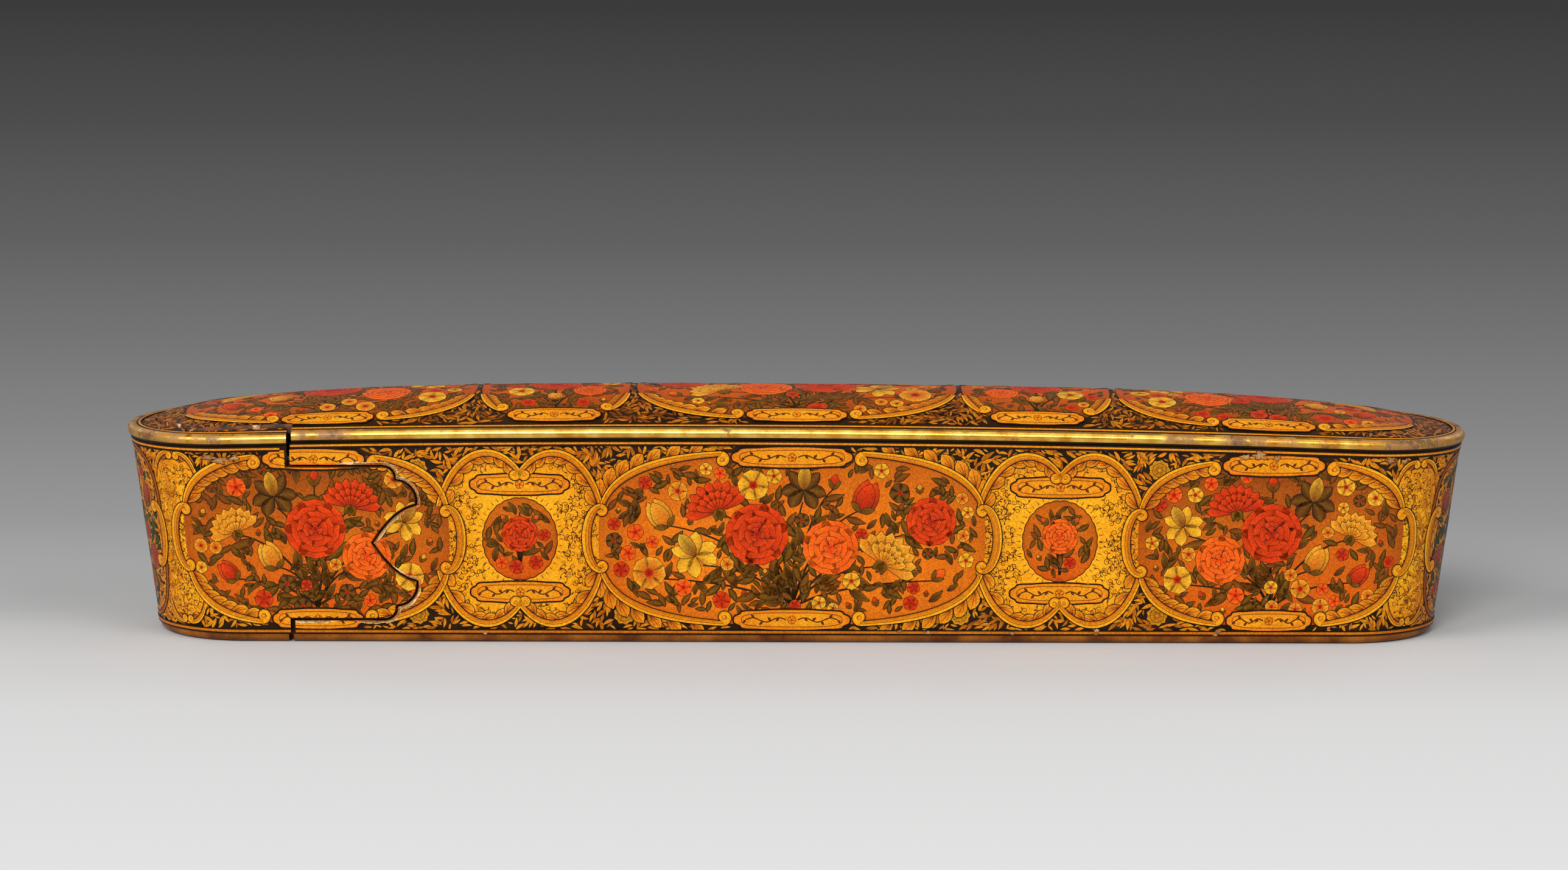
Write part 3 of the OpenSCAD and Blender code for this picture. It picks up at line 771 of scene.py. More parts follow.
def strip_panel(sheet, room, middle, a, b, coat):
    """A narrow upright gilt panel of tendrils, near an end of the case."""
    edge, inside = cushion(middle, a, b)
    outline = all_round(middle, edge)
    ground(sheet, middle, edge, lambda p, s: mix(GOLD_LIGHT, GOLD, s**3), 0, 6)
    tendrils(sheet, room_in(middle, a, b, inside, 0.7), 1)
    ribbon(sheet, outline, 1.0, INK, 1.6)
    ribbon(sheet, outline, 0.66, GOLD_DEEP, 1.8, GOLD_LIGHT)
    for place, hand in mirrors():
        turn = np.radians(np.linspace(48, 86, 24))
        arc = a * np.cos(turn) ** (2 / 3) + 1j * b * np.sin(turn) ** (2 / 3)
        scroll(sheet, middle + place(arc), 0.8, coat, hand, 0.6, leaf_row(1, 2.4)[:4])
    room.fill_where(lambda p: inside(p, 0.2))


def end_panel(sheet, middle, a, b, coat):
    """The flower panel round an end of the case, on a dark ground; its dark ground and dull colours are
    partly its own and partly painted shade on the end.
    """
    edge, inside = cushion(middle, a, b, 3.6)
    outline = all_round(middle, edge)
    ground(sheet, middle, edge, dusk(middle.imag - b, middle.imag + b, INK, UMBER_DARK, UMBER_DARK), 0, 6)
    spray(sheet, middle, a, b, inside, END_HEADS, coat, END_LEAF_TONES, END_SMALL_HUES)
    ribbon(sheet, outline, 1.0, INK, coat + 16)
    ribbon(sheet, outline, 0.6, BROWN, coat + 17, GOLD_DEEP)


# Heads of the sprays: kind, colour, place across and up the panel, and size
END_HEADS = (
    ("rose", "rosy", 0, 0.1, 3.6), ("tulip", "rosy", -0.62, 0.42, 3.0),
    ("tulip", "rosy", 0.62, 0.42, 3.0), ("bud", "rosy", 0.05, 0.7, 2.6),
    ("carnation", "rosy", -0.62, -0.25, 2.7), ("blossom", "rosy", 0.62, -0.3, 2.3),
    ("blossom", "cream", 0.2, -0.45, 1.8), ("bud", "rosy", -0.3, 0.6, 2.2),
)
SPRAY_A = (
    ("rose", "red", 0.0, 0.12, 5.4), ("iris", "umber", -0.3, 0.5, 4.2),
    ("carnation", "red", 0.28, 0.48, 4.0), ("tulip", "gold", -0.34, -0.22, 3.8),
    ("rose", "coral", 0.38, -0.2, 4.4), ("carnation", "gold", -0.62, 0.16, 3.6),
    ("iris", "cream", 0.66, 0.2, 3.8), ("bud", "red", 0.0, 0.72, 3.0), ("tulip", "red", -0.66, -0.4, 3.0),
    ("blossom", "cream", 0.7, -0.44, 2.6),
)
SPRAY_B = (
    ("rose", "red", -0.18, 0.05, 5.6), ("rose", "coral", 0.2, -0.1, 5.0),
    ("iris", "umber", 0.06, 0.56, 4.2), ("carnation", "red", -0.4, 0.42, 4.4),
    ("tulip", "red", 0.38, 0.46, 4.2), ("carnation", "gold", 0.5, -0.2, 4.6),
    ("iris", "cream", -0.5, -0.2, 4.4), ("tulip", "gold", -0.68, 0.26, 4.0),
    ("rose", "red", 0.72, 0.2, 4.4), ("blossom", "gold", -0.74, -0.4, 3.0),
    ("bud", "coral", 0.76, -0.42, 3.0), ("blossom", "cream", -0.2, 0.62, 2.8),
    ("bud", "red", 0.22, 0.66, 2.8),
)
SPRAY_C = (
    ("rose", "red", 0.0, 0.08, 4.6), ("carnation", "coral", -0.46, 0.36, 3.2),
    ("tulip", "red", 0.46, 0.36, 3.2), ("blossom", "cream", -0.46, -0.3, 2.4),
    ("rose", "coral", 0.46, -0.26, 3.0), ("bud", "red", 0.0, 0.62, 2.4),
    ("tulip", "gold", 0.0, -0.5, 2.4),
)


def flipped(heads):
    """A spray's heads, mirrored."""
    return tuple((kind, hue, -across, up, size) for kind, hue, across, up, size in heads)


# Large and small panels of a side: middle along X and half length
LONG_SIDE = ((-85.0, 23.6), (-0.8, 34.2), (84.0, 23.6))
SMALL_SIDE = ((-48.9, 15.0), (46.6, 15.0))
# Half the run of a side's painting, to the tips of the ends, and the lower edge of its band
RUN = half_len(18) - half_w(18) + half_w(18) * math.pi / 2
WALL_LOW = 2.5


def wall_high(x):
    """The upper edge of the wall's painted band."""
    return rim(x) - BEAD_DEPTH - 1.15


def wall_band(x):
    """The middle of the wall's painted band at x, and half its height."""
    high = wall_high(x)
    return complex(x, (WALL_LOW + high) / 2), (high - WALL_LOW) / 2


def paint_side(sprays, hues):
    """One long side of the case, with its two half ends."""
    sheet = Sheet()
    room = Room(complex(-RUN - 16, 0), complex(RUN + 16, 40))
    room.fill_where(lambda p: p.imag < WALL_LOW - 0.2)
    room.fill_where(lambda p: p.imag > wall_high(np.clip(p.real, -118, 118)) + 0.4)
    for (x, a), heads, shares in zip(LONG_SIDE, sprays, ((0.36, 0.33), (0.3, 0.29), (0.36, 0.31))):
        middle, half = wall_band(x)
        leaf_side, tints = (-1, BRIGHT_TINTS) if abs(x) < 30 else (1, TINTS)
        flower_panel(sheet, room, middle, a, half - 0.9, heads, 3, shares, leaf_side, tints)
    for (x, a), hue in zip(SMALL_SIDE, hues):
        middle, half = wall_band(x)
        medallion(sheet, room, middle, a, half - 1.0, 2, hue)
    for hand in (1, -1):
        middle, half = wall_band(hand * 110)
        strip_panel(sheet, room, middle - 0.1 * hand, 5.2, half - 0.6, 14)
        bracket(sheet, middle + 5 * hand, 11.0, -2.0 * hand, 32)
    for x, a in LONG_SIDE:
        for hand in (1, -1):
            bracket(sheet, wall_band(x)[0] + hand * (a + 0.6), 11.5, 2.6 * hand, 32)
    spots = [complex(x, z) for x in (-67, -30.5, 29, 64) for z in (31.6, 5.2)]
    palmettes(sheet, room, spots, 1, 1.9)
    foliage(sheet, room, 1)
    borders(sheet)
    seam_shade_wear_and_highlights(sheet)
    chips(sheet)
    return sheet


def seam_shade_wear_and_highlights(sheet):
    """Along the seam: a dark line of painted shade by the gap, and pale marks at the corners of the sleeve's
    side, partly bare gesso and partly painted highlights on edges that face the light.
    """
    half = tongue_half()
    path = np.concatenate([half[::-1], half.conj()[1:]]) + 1j * TONGUE_MID
    left = sides(path)
    # Painted shade: a dark line along the gap between sleeve and cap
    ribbon(sheet, path + left * SEAM_GAP / 2, SEAM_GAP + 0.24, SEPIA, 42)
    # Pale marks on the sleeve's side only: worn gesso that also stands in for highlights on its edges
    for _ in range(90):
        at = rng.randint(45, len(path) - 46) if rng.random() < 0.8 else rng.randint(4, len(path) - 5)
        reach = rng.randint(3, 12)
        run = slice(max(0, at - reach), min(len(path), at + reach))
        count = len(path[run])
        wide = np.sin(np.linspace(0.1, 3.04, count)) * rng.uniform(0.25, 0.6)
        edge = path[run] + left[run] * (SEAM_GAP + 0.08 + wide / 2)
        ribbon(sheet, edge, wide, rng.choice((GESSO, GESSO, GESSO, CORAL)), 43)


def chips(sheet):
    """Flaked spots, pale where the gesso shows and brown at their edges."""
    under_bead = ((-103, 1.2, 0.9), (-101, 1.7, 1.3), (-98.6, 1.4, 0.7), (79, 0.3, 0.8),
                  (81.5, 0.0, 1.2), (84.5, 0.4, 0.7), (104, 0.2, 0.9), (106.5, 0.4, 0.6))
    spots = [(complex(x, wall_high(x) - down), size) for x, down, size in under_bead]
    base, loose = (9, (-110, 112), (1.7, 2.7), (0.2, 0.6)), (26, (-100, 105), (6, 33), (0.12, 0.3))
    for count, along, up, sizes in (base, loose):
        for _ in range(count):
            spots.append((complex(rng.uniform(*along), rng.uniform(*up)), rng.uniform(*sizes)))
    turn = np.linspace(0, 2 * math.pi, 25)
    for spot, size in spots:
        wobble = sum(rng.uniform(0.05, 0.3) * np.cos(n * turn + rng.uniform(0, 6)) for n in (2, 3, 5, 7))
        outline = spot + size * (1 + wobble) * (np.cos(turn) + 0.5j * np.sin(turn))
        pale = mix(GESSO, BROWN, rng.uniform(0.25, 0.8))
        columns = [spot + (outline - spot) * share for share in (0.02, 0.6, 1, 1.2)]
        sheet.strip(columns[:3], [mix(pale, BROWN, share) for share in (0, 0.3, 0.5)], 43)
        sheet.strip(columns[2:], [SEPIA, SEPIA], 43)


def borders(sheet):
    """Gilt and ink lines under the bead and over the base."""
    run = np.linspace(-RUN, RUN, 420)
    x = np.clip(run, -118, 118)
    for where in (run < CUT_X - 0.2, run > CUT_X + CUT_GAP - 0.4):
        path, drop = run[where], CAP_DROP if where[0] else 0.0
        top = rim(x[where]) - BEAD_DEPTH - drop
        for down, width, colour, coat in ((0.5, 1.0, INK, 39), (0.48, 0.34, GOLD, 40)):
            ribbon(sheet, path + 1j * (top - down), width, colour, coat)
    for up, width, colour, coat in ((2.05, 0.95, INK, 39), (2.05, 0.42, mix(GOLD, GOLD_DEEP, 0.6), 40)):
        ribbon(sheet, run + 1j * up, width, colour, coat)


# The same for the top, how far it reaches from its middle line, and half the length of that line
LONG_TOP = ((-83.0, 26.0), (0.0, 28.5), (83.5, 26.5))
SMALL_TOP = ((-42.9, 13.2), (42.6, 13.2))
TOP_REACH, TOP_STRAIGHT = half_w(RIM_H) - CROWN_INSET, half_len(RIM_H) - half_w(RIM_H)


def from_ridge(p):
    """How far a point of the top is from the middle line of its straight part."""
    return np.hypot(np.maximum(np.abs(p.real) - TOP_STRAIGHT, 0), p.imag)


def paint_top(sprays):
    """The pillow top."""
    sheet = Sheet()
    room = Room(complex(-120, -18), complex(120, 18))
    room.fill_where(lambda p: from_ridge(p) > TOP_REACH - 1.1)
    # Darker, redder grounds than the sides': partly the top's own paint, partly painted shade on the top
    tints = AMBER_DARK, ORANGE, AMBER_DARK
    large, small = zip(LONG_TOP, sprays), zip(SMALL_TOP, (SPRAY_C, flipped(SPRAY_C)))
    for panels, share in ((large, 0.3), (small, 0.6)):
        for (x, a), heads in panels:
            middle, shares = complex(x, 0), (share, share)
            flower_panel(sheet, room, middle, a, TOP_REACH - 2.6, heads, 3, shares, 1, tints, 52)
    foliage(sheet, room, 1, TOP_GILT_AND_SHADE_TONES)
    turn = np.linspace(-math.pi / 2, math.pi / 2, 60)
    end = TOP_STRAIGHT + (TOP_REACH - 0.55) * np.exp(1j * turn)
    side = np.linspace(TOP_STRAIGHT, -TOP_STRAIGHT, 200)[1:-1] + 1j * (TOP_REACH - 0.55)
    path = np.concatenate([end, side, -end, -side, end[:1]])
    ribbon(sheet, path, 0.8, INK, 28)
    ribbon(sheet, path, 0.34, GOLD, 29)
    return sheet


# Laying the flat painting on the case


def wall_place(p, side, inset=0.0):
    """The wall's point for a flat one: run along the long side, then round the end, and height."""
    run, z = p.real, p.imag
    wide, long = half_w(z) - inset, half_len(z) - inset
    straight = long - wide
    full = straight + wide * math.pi / 2
    run = run + np.sign(run) * (np.abs(run) / RUN) ** 6 * (full - RUN)
    turn = np.maximum(np.abs(run) - straight, 0) / wide
    x = np.sign(run) * (np.minimum(np.abs(run), straight) + wide * np.sin(turn))
    return np.stack([x, side * wide * np.cos(turn), z], -1)


def top_place(p, drop):
    """The top's point for a flat one, on a top that lies lower by drop."""
    x, fall = p.real, np.clip(from_ridge(p) / TOP_REACH, RIDGE, 1)
    return np.stack([x, p.imag, rim(x) - BEAD_SINK - PAINT_ROOM - drop + rise(x) * (1 - fall**2)], -1)


def tongue_half():
    """Upper half of the cap's side tongue, from its notch to its straight edge, as x and height."""
    lobe_x = TONGUE_END_X - LOBE_R
    lobe_v = TONGUE_HALF - CORNER_R - TONGUE_STEP - LOBE_R
    point = complex(TONGUE_END_X - NOTCH_DEPTH, 0)
    foot = complex(TONGUE_END_X, lobe_v - TONGUE_STEP)
    quarter = np.exp(1j * np.linspace(0, math.pi / 2, 25))
    return np.concatenate([
        bend(point, (point + foot) / 2 + 1j * NOTCH_SWELL, foot, 40),
        complex(lobe_x, lobe_v) + LOBE_R * quarter,
        complex(lobe_x - CORNER_R, TONGUE_HALF - CORNER_R) + CORNER_R * quarter,
        np.linspace(lobe_x - CORNER_R, CUT_X, 60)[1:] + 1j * TONGUE_HALF,
    ])


def sleeve_tongue_half(wide, end):
    """Half of a tongue of the sleeve in the plan, from its point to its straight edge."""
    shoulder = complex(end + SHOULDER_LAND, wide - SHOULDER_R)
    point = complex(end + TIP_LAND, 0)
    foot = shoulder - complex(SHOULDER_R, SHOULDER_R)
    pull = complex(point.real + SHOULDER_R, foot.imag * FULLNESS)
    quarter = np.exp(1j * np.linspace(math.pi, math.pi / 2, 13))
    return np.concatenate([bend(point, pull, foot, 40), shoulder + SHOULDER_R * quarter])


def dense(path):
    """A path with twelve spots on each of its steps."""
    fine = np.linspace(0, 1, 12)[:, None]
    return (path[:-1] + (path[1:] - path[:-1]) * fine).T.ravel()


def grown(at, knots, values, grow):
    """A curve's value at given places once its shape has grown by a gap."""
    if not grow:
        return np.interp(at, knots, values)
    near = np.maximum(grow**2 - (np.asarray(at)[:, None] - knots) ** 2, 0)
    reach = np.where(near > 0, values + np.sqrt(near), -1e3)
    return reach.max(1)


def side_edge(z, grow, cut):
    """How far to the right the cap's end of the wall reaches at height z."""
    path = dense(tongue_half())
    if grow:
        path = np.concatenate([path.conj()[::-1], path])
    v = np.abs(np.atleast_1d(z) - TONGUE_MID)
    edge = grown(v, path.imag, path.real, grow)
    return np.where(v > TONGUE_HALF + grow, cut, np.maximum(edge, cut))


def tongue_edge(x, wide, end, grow, cut):
    """Half width of the sleeve's tongue at x; past the straight cut it is wider than the case."""
    path = dense(sleeve_tongue_half(wide, end))
    path = np.concatenate([path, np.arange(path[-1].real, CUT_X + 40, 0.1) + 1j * wide])
    x = np.atleast_1d(x)
    edge = grown(x, path.real, path.imag, grow)
    edge = np.where(x < end + TIP_LAND - grow, 0.0 if grow else -1.0, edge)
    return np.where(x > cut, 1e3, edge)


# Further than any part of the case
FAR = 1e4


def side_rules():
    """The seam on a side: its axis, where its slabs break, each body's bounds, and its reach along X."""
    low, high = TONGUE_MID - TONGUE_HALF, TONGUE_MID + TONGUE_HALF
    ends = (-50, low - SEAM_GAP, high + SEAM_GAP, 90)
    breaks = np.sort(np.concatenate([np.linspace(low, high, 121), ends]))
    rules = (
        ("drawer", lambda z: z * 0 - FAR, lambda z: side_edge(z, 0, CUT_X)),
        ("sleeve", lambda z: side_edge(z, SEAM_GAP, CUT_X + CUT_GAP), lambda z: z * 0 + FAR),
    )
    return 1, breaks, rules, CUT_X, TONGUE_END_X + SEAM_GAP


def top_rules():
    """The same for the seam on the top."""
    end = -CASE_LEN / 2
    tip = end + TIP_LAND
    curve = np.linspace(tip, end + SHOULDER_LAND + 1, 61)
    breaks = np.sort(np.concatenate([curve, (-200, tip - SEAM_GAP, CUT_X, CUT_X + CUT_GAP, 200)]))

    def inner(x):
        return tongue_edge(x, TOP_TONGUE_W, end, 0, CUT_X + CUT_GAP)

    def outer(x):
        return tongue_edge(x, TOP_TONGUE_W, end, SEAM_GAP, CUT_X)

    rules = (
        ("sleeve", lambda x: -inner(x), inner),
        ("drawer", outer, lambda x: x * 0 + FAR),
        ("drawer", lambda x: x * 0 - FAR, lambda x: -outer(x)),
    )
    return 0, breaks, rules, tip - SEAM_GAP, CUT_X + CUT_GAP


def keep(polygon, across, up, limit):
    """The part of a polygon where across * u + up * v is under a limit; a corner is u, v and its colour."""
    kept = []
    for p, q in zip(polygon, polygon[1:] + polygon[:1]):
        dp = across * p[0] + up * p[1] - limit
        dq = across * q[0] + up * q[1] - limit
        if dp <= 0:
            kept.append(p)
        if dp * dq < 0:
            kept.append(p + (q - p) * dp / (dp - dq))
    return kept


def split(polygon, axis, breaks, rules):
    """Cuts a polygon along the seam; gives each body's pieces. The seam is taken in slabs along an axis."""
    places = [c[axis] for c in polygon]
    first = max(0, np.searchsorted(breaks, min(places)) - 1)
    last = min(len(breaks) - 1, np.searchsorted(breaks, max(places)))
    along = np.array([0.0, 0.0])
    along[axis] = 1
    other = 1 - along
    for i in range(first, last):
        low, high = breaks[i], breaks[i + 1]
        slab = keep(keep(polygon, *along, high), *-along, -low)
        if len(slab) < 3:
            continue
        for body, floors, ceilings in rules:
            piece = slab
            for bounds, sign in ((ceilings, 1), (floors, -1)):
                b0, b1 = bounds[i]
                slope = (b1 - b0) / (high - low)
                turn = sign * (other - slope * along)
                piece = keep(piece, *turn, sign * (b0 - slope * low)) if len(piece) > 2 else []
            if len(piece) > 2:
                yield body, piece


def at_slabs(rules, breaks):
    """The seam's bounds at both ends of each slab."""
    inset = 1e-5
    ends = breaks[:-1] + inset, breaks[1:] - inset
    table = []
    for body, floor, ceiling in rules:
        table.append((body, *(list(zip(*(bound(e) for e in ends))) for bound in (floor, ceiling))))
    return table


def wrap(sheet, name, place, seam, facing):
    """Lays a flat painting on its face, cut along the seam, as one piece for each body."""
    corners, tones, coats = sheet.gather()
    area = np.sum(corners.conj() * np.roll(corners, -1, 1), 1).imag
    solid = np.abs(area) > 1e-6
    corners, tones, coats, area = corners[solid], tones[solid], coats[solid], area[solid]
    back = area * facing < 0
    corners[back], tones[back] = corners[back][:, ::-1], tones[back][:, ::-1]
    pieces = {"drawer": [], "sleeve": []}
    if seam is None:
        pieces["drawer"] = list(zip(corners, tones, coats))
    else:
        axis, breaks, rules, low, high = seam
        rules = at_slabs(rules, breaks)
        left, right = corners.real.max(1) < low, corners.real.min(1) > high
        for body, where in (("drawer", left), ("sleeve", right)):
            pieces[body] = list(zip(corners[where], tones[where], coats[where]))
        near = ~left & ~right
        for quad, paint, coat in zip(corners[near], tones[near], coats[near]):
            polygon = [np.array([c.real, c.imag, *t]) for c, t in zip(quad, paint)]
            for body, piece in split(polygon, axis, breaks, rules):
                rows = np.array(piece)
                pieces[body].append((rows[:, 0] + 1j * rows[:, 1], rows[:, 2:], coat))
    for body, faces in pieces.items():
        if faces:
            lay(f"{name}_{body}", faces, lambda p, b=body: place(p, b), body, facing)


def lay(name, faces, place, body, facing):
    """Makes one painted piece from flat polygons, each with its corners, their colours and its coat."""
    faces.sort(key=lambda f: f[2])
    sizes = [len(f[0]) for f in faces]
    flat = np.concatenate([f[0] for f in faces])
    paint = np.concatenate([f[1] for f in faces])
    coat = np.repeat([f[2] for f in faces], sizes)
    key = np.round(np.stack([flat.real, flat.imag, coat], -1), 4)
    first, index = np.unique(key, axis=0, return_index=True, return_inverse=True)[1:]
    index = index.ravel()
    polygons, colours, start = [], [], 0
    for size in sizes:
        corners = dict.fromkeys(index[start : start + size].tolist())
        if len(corners) > 2:
            polygons.append(list(corners))
            where = {corner: start + k for k, corner in enumerate(index[start : start + size].tolist())}
            colours += [paint[where[corner]] for corner in corners]
        start += size
    spots, normals = outward(place, flat[first], facing)
    spots = spots + normals * (FIRST_COAT + COAT * coat[first])[:, None]
    piece = build_mesh(name, spots, polygons, [painting])
    layer = piece.data.color_attributes.new("Paint", "FLOAT_COLOR", "CORNER")
    layer.data.foreach_set("color", np.array(colours, np.float32).ravel())
    picture_map(piece.data, flat[first], polygons)
    piece.data.normals_split_custom_set_from_vertices(normals.tolist())
    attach(piece, body)


def picture_map(mesh, flat, polygons):
    """A map for baked colours: the flat painting in rows that fill a square. A later coat covers an
    earlier one there too, because its polygons come after. A polygon past a row's end fits in the spare."""
    spare = 3.0
    low = complex(flat.real.min(), flat.imag.min())
    span = complex(flat.real.max(), flat.imag.max()) - low
    rows = max(1, round(math.sqrt(span.real / span.imag)))
    length = span.real / rows
    places = []
    for polygon in polygons:
        corners = flat[polygon] - low
        row = min(rows - 1, int(corners.real.mean() / length))
        u = (corners.real - row * length + spare) / (length + 2 * spare)
        v = (row + 0.01 + 0.98 * corners.imag / span.imag) / rows
        places.append(np.stack([u, v], -1))
    layer = mesh.uv_layers.new(name="OFBake")
    layer.uv.foreach_set("vector", np.concatenate(places).astype(np.float32).ravel())


def outward(place, p, facing):
    """Points of a face and its outward normals."""
    step = 0.02
    along = place(p + step) - place(p - step)
    up = place(p + 1j * step) - place(p - 1j * step)
    normal = np.cross(along, up) * facing
    return place(p), normal / np.linalg.norm(normal, axis=-1, keepdims=True)


# Meshes


def build_mesh(name, points, faces, materials):
    """A smooth mesh object from points in millimetres."""
    mesh = bpy.data.meshes.new(name)
    mesh.from_pydata((np.asarray(points) * MM).tolist(), [], faces)
    for finish in materials:
        mesh.materials.append(finish)
    mesh.polygons.foreach_set("use_smooth", [True] * len(mesh.polygons))
    piece = bpy.data.objects.new(name, mesh)
    bpy.context.scene.collection.objects.link(piece)
    return piece


END_STEPS, SIDE_STEPS = 72, 120


def plan_steps():
    """The round-ended plan as unit steps: place along the straight side, then turn round the end."""
    turn = np.linspace(-math.pi / 2, math.pi / 2, END_STEPS + 1)
    line = np.linspace(1, -1, SIDE_STEPS + 1)[1:-1]
    nought, one = np.zeros(len(line)), np.ones(len(line))
    end = np.ones(len(turn))
    return (
        np.concatenate([end, line, -end, -line]),
        np.concatenate([np.cos(turn), nought, -np.cos(turn), nought]),
        np.concatenate([np.sin(turn), one, -np.sin(turn), -one]),
    )


ALONG, ROUND_X, ROUND_Y = plan_steps()


def ring(z, inset):
    """The wall's plan at a height, or at one for each point, drawn in by inset."""
    z = np.broadcast_to(z, ALONG.shape)
    long, wide = half_len(z) - inset, half_w(z) - inset
    return np.stack([ALONG * (long - wide) + ROUND_X * wide, ROUND_Y * wide, z], -1)


def rim_ring(up, inset):
    """A ring that follows the rim, higher than it by up."""
    return ring(rim(ring(RIM_H, 0)[:, 0]) + up, inset)


def crown_ring(share, up, inset):
    """A ring on the pillow top, raised by up; share is 0 at its edge and 1 at its ridge."""
    wide = half_w(RIM_H) - inset
    long = half_len(RIM_H) - inset - wide * share
    x = ALONG * (long - wide * (1 - share)) + ROUND_X * wide * (1 - share)
    y = ROUND_Y * wide * (1 - share)
    return np.stack([x, y, rim(x) + up + rise(x) * (1 - (1 - share) ** 2)], -1)


def loft(name, rings, roles, materials, ends):
    """A closed skin through rings, with a material for each band and for the two ends."""
    count = len(ALONG)
    faces, kinds = [], []
    for k, role in enumerate(roles):
        for i in range(count):
            j = (i + 1) % count
            faces.append((k * count + i, k * count + j, (k + 1) * count + j, (k + 1) * count + i))
            kinds.append(role)
    middle = END_STEPS // 2
    top = (len(rings) - 1) * count
    for k in range(count // 2):
        a, b = (middle + k) % count, (middle - k) % count
        c, d = (a + 1) % count, (b - 1) % count
        rung = list(dict.fromkeys((b, a, c, d)))
        faces += [tuple(rung[::-1]), tuple(top + i for i in rung)]
        kinds += ends
    piece = build_mesh(name, np.concatenate(rings), faces, materials)
    piece.data.polygons.foreach_set("material_index", kinds)
    return piece


def prism(name, outline, low, high, upright, materials, role):
    """An outline, anticlockwise, drawn through the case along Z, or along Y if it stands upright."""
    count = len(outline)
    if upright:
        points = [(p.real, y, p.imag) for y in (high, low) for p in outline]
    else:
        points = [(p.real, p.imag, z) for z in (low, high) for p in outline]
    faces = [tuple(range(count))[::-1], tuple(range(count, 2 * count))]
    faces += [(i, (i + 1) % count, count + (i + 1) % count, count + i) for i in range(count)]
    piece = build_mesh(name, points, faces, materials)
    piece.data.polygons.foreach_set("material_index", [role] * len(faces))
    return piece


def combine(target, tool, how):
    """Joins or cuts a piece with another, which goes."""
    step = target.modifiers.new("combine", "BOOLEAN")
    step.operation, step.object, step.solver = how, tool, "EXACT"
    graph = bpy.context.evaluated_depsgraph_get()
    mesh = bpy.data.meshes.new_from_object(target.evaluated_get(graph))
    target.modifiers.clear()
    target.data = mesh
    bpy.data.objects.remove(tool)


# Materials of the case, by their places in its list
GROUND, BEAD, BAND, UNDER, INSIDE, EDGE = range(6)


def case_outside(name, drop, materials):
    """The whole outer form: base band, wall, bead and top, the last two lowered by drop."""
    rings, roles = [], []
    for a in np.linspace(0, math.pi / 2, 7):
        rings.append(ring(BASE_R * (1 - math.cos(a)), BASE_R * (1 - math.sin(a))))
        roles.append(BAND)
    roles[-1] = GROUND
    for a in np.linspace(BEAD_LOW, BEAD_TOP, 25):
        inset = BEAD_PROUD + BEAD_TRIM - BEAD_R * math.cos(a)
        rings.append(rim_ring(BEAD_R * (math.sin(a) - 1) - drop, inset))
        roles.append(BEAD if GILT_FROM < a < GILT_TO else GROUND)
    for share in np.linspace(0, 1 - RIDGE, 19):
        rings.append(crown_ring(share, -BEAD_SINK - PAINT_ROOM - drop, CROWN_INSET))
        roles.append(GROUND)
    return loft(name, rings, roles[:-1], materials, (UNDER, GROUND))


def case_inside(name, inset, drop, materials):
    """The hollow of the case."""
    rings = [ring(inset, inset), rim_ring(-WALL - drop, inset)]
    rings += [crown_ring(s, -WALL - drop, inset) for s in np.linspace(0.12, 0.9, 8)]
    return loft(name, rings, [INSIDE] * (len(rings) - 1), materials, (INSIDE, INSIDE))


def cap_space(cut, side_gap, sleeve_gap, materials):
    """What belongs to the end cap: the end of the case with its side tongues, less the sleeve's tongues."""
    low, high = TONGUE_MID - TONGUE_HALF - side_gap, TONGUE_MID + TONGUE_HALF + side_gap
    z = np.concatenate([[low], np.linspace(low + 0.01, high - 0.01, 181), [high]])
    tongue = side_edge(np.clip(z, low + 1e-4, high - 1e-4), side_gap, cut) + 1j * z
    ends = [complex(-170, -40), complex(cut, -40), complex(cut, low)]
    outline = np.concatenate([ends, tongue, [complex(cut, high), complex(cut, 90), complex(-170, 90)]])
    space = prism("cap_space", outline, -CASE_W, CASE_W, True, materials, EDGE)
    tongues = (
        (TOP_TONGUE_W, -CASE_LEN / 2, CEILING_LOW, 120),
        (BASE_TONGUE_W, -BASE_HALF_LEN, -90, TONGUE_MID - TONGUE_HALF - SEAM_GAP),
    )
    for wide, end, z0, z1 in tongues:
        tip, back = end + TIP_LAND - sleeve_gap, -60.0
        curve = tip + (end + SHOULDER_LAND - tip) * np.linspace(0, 1, 61)[1:] ** 2
        x = np.concatenate([[tip], curve, [back]])
        half = tongue_edge(x, wide, end, sleeve_gap, 0)
        half[0] = 0
        outline = np.concatenate([x - 1j * half, (x + 1j * half)[:0:-1]])
        combine(space, prism("tongue", outline, z0, z1, False, materials, EDGE), "DIFFERENCE")
    return space


def make_shell(name, body, node, drop, inset, cut, gaps, how, materials):
    """The sleeve or the end cap: the hollow case, less the cap's space or only what is in it."""
    shell = case_outside(name, drop, materials)
    combine(shell, case_inside("inside", inset, drop, materials), "DIFFERENCE")
    combine(shell, cap_space(cut, *gaps, materials), how)
    shell.data.polygons.foreach_set("use_smooth", [True] * len(shell.data.polygons))
    shell.data.set_sharp_from_angle(angle=math.radians(32))
    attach(shell, body)
    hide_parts(node)


# Materials


def material(name, **sockets):
    """A new material with values for its shader's sockets, an underscore for each space in a name."""
    made = bpy.data.materials.new(name)
    made.use_nodes = True
    shader = made.node_tree.nodes["Principled BSDF"]
    for socket, value in sockets.items():
        shader.inputs[socket.replace("_", " ")].default_value = value
    return made, made.node_tree, shader


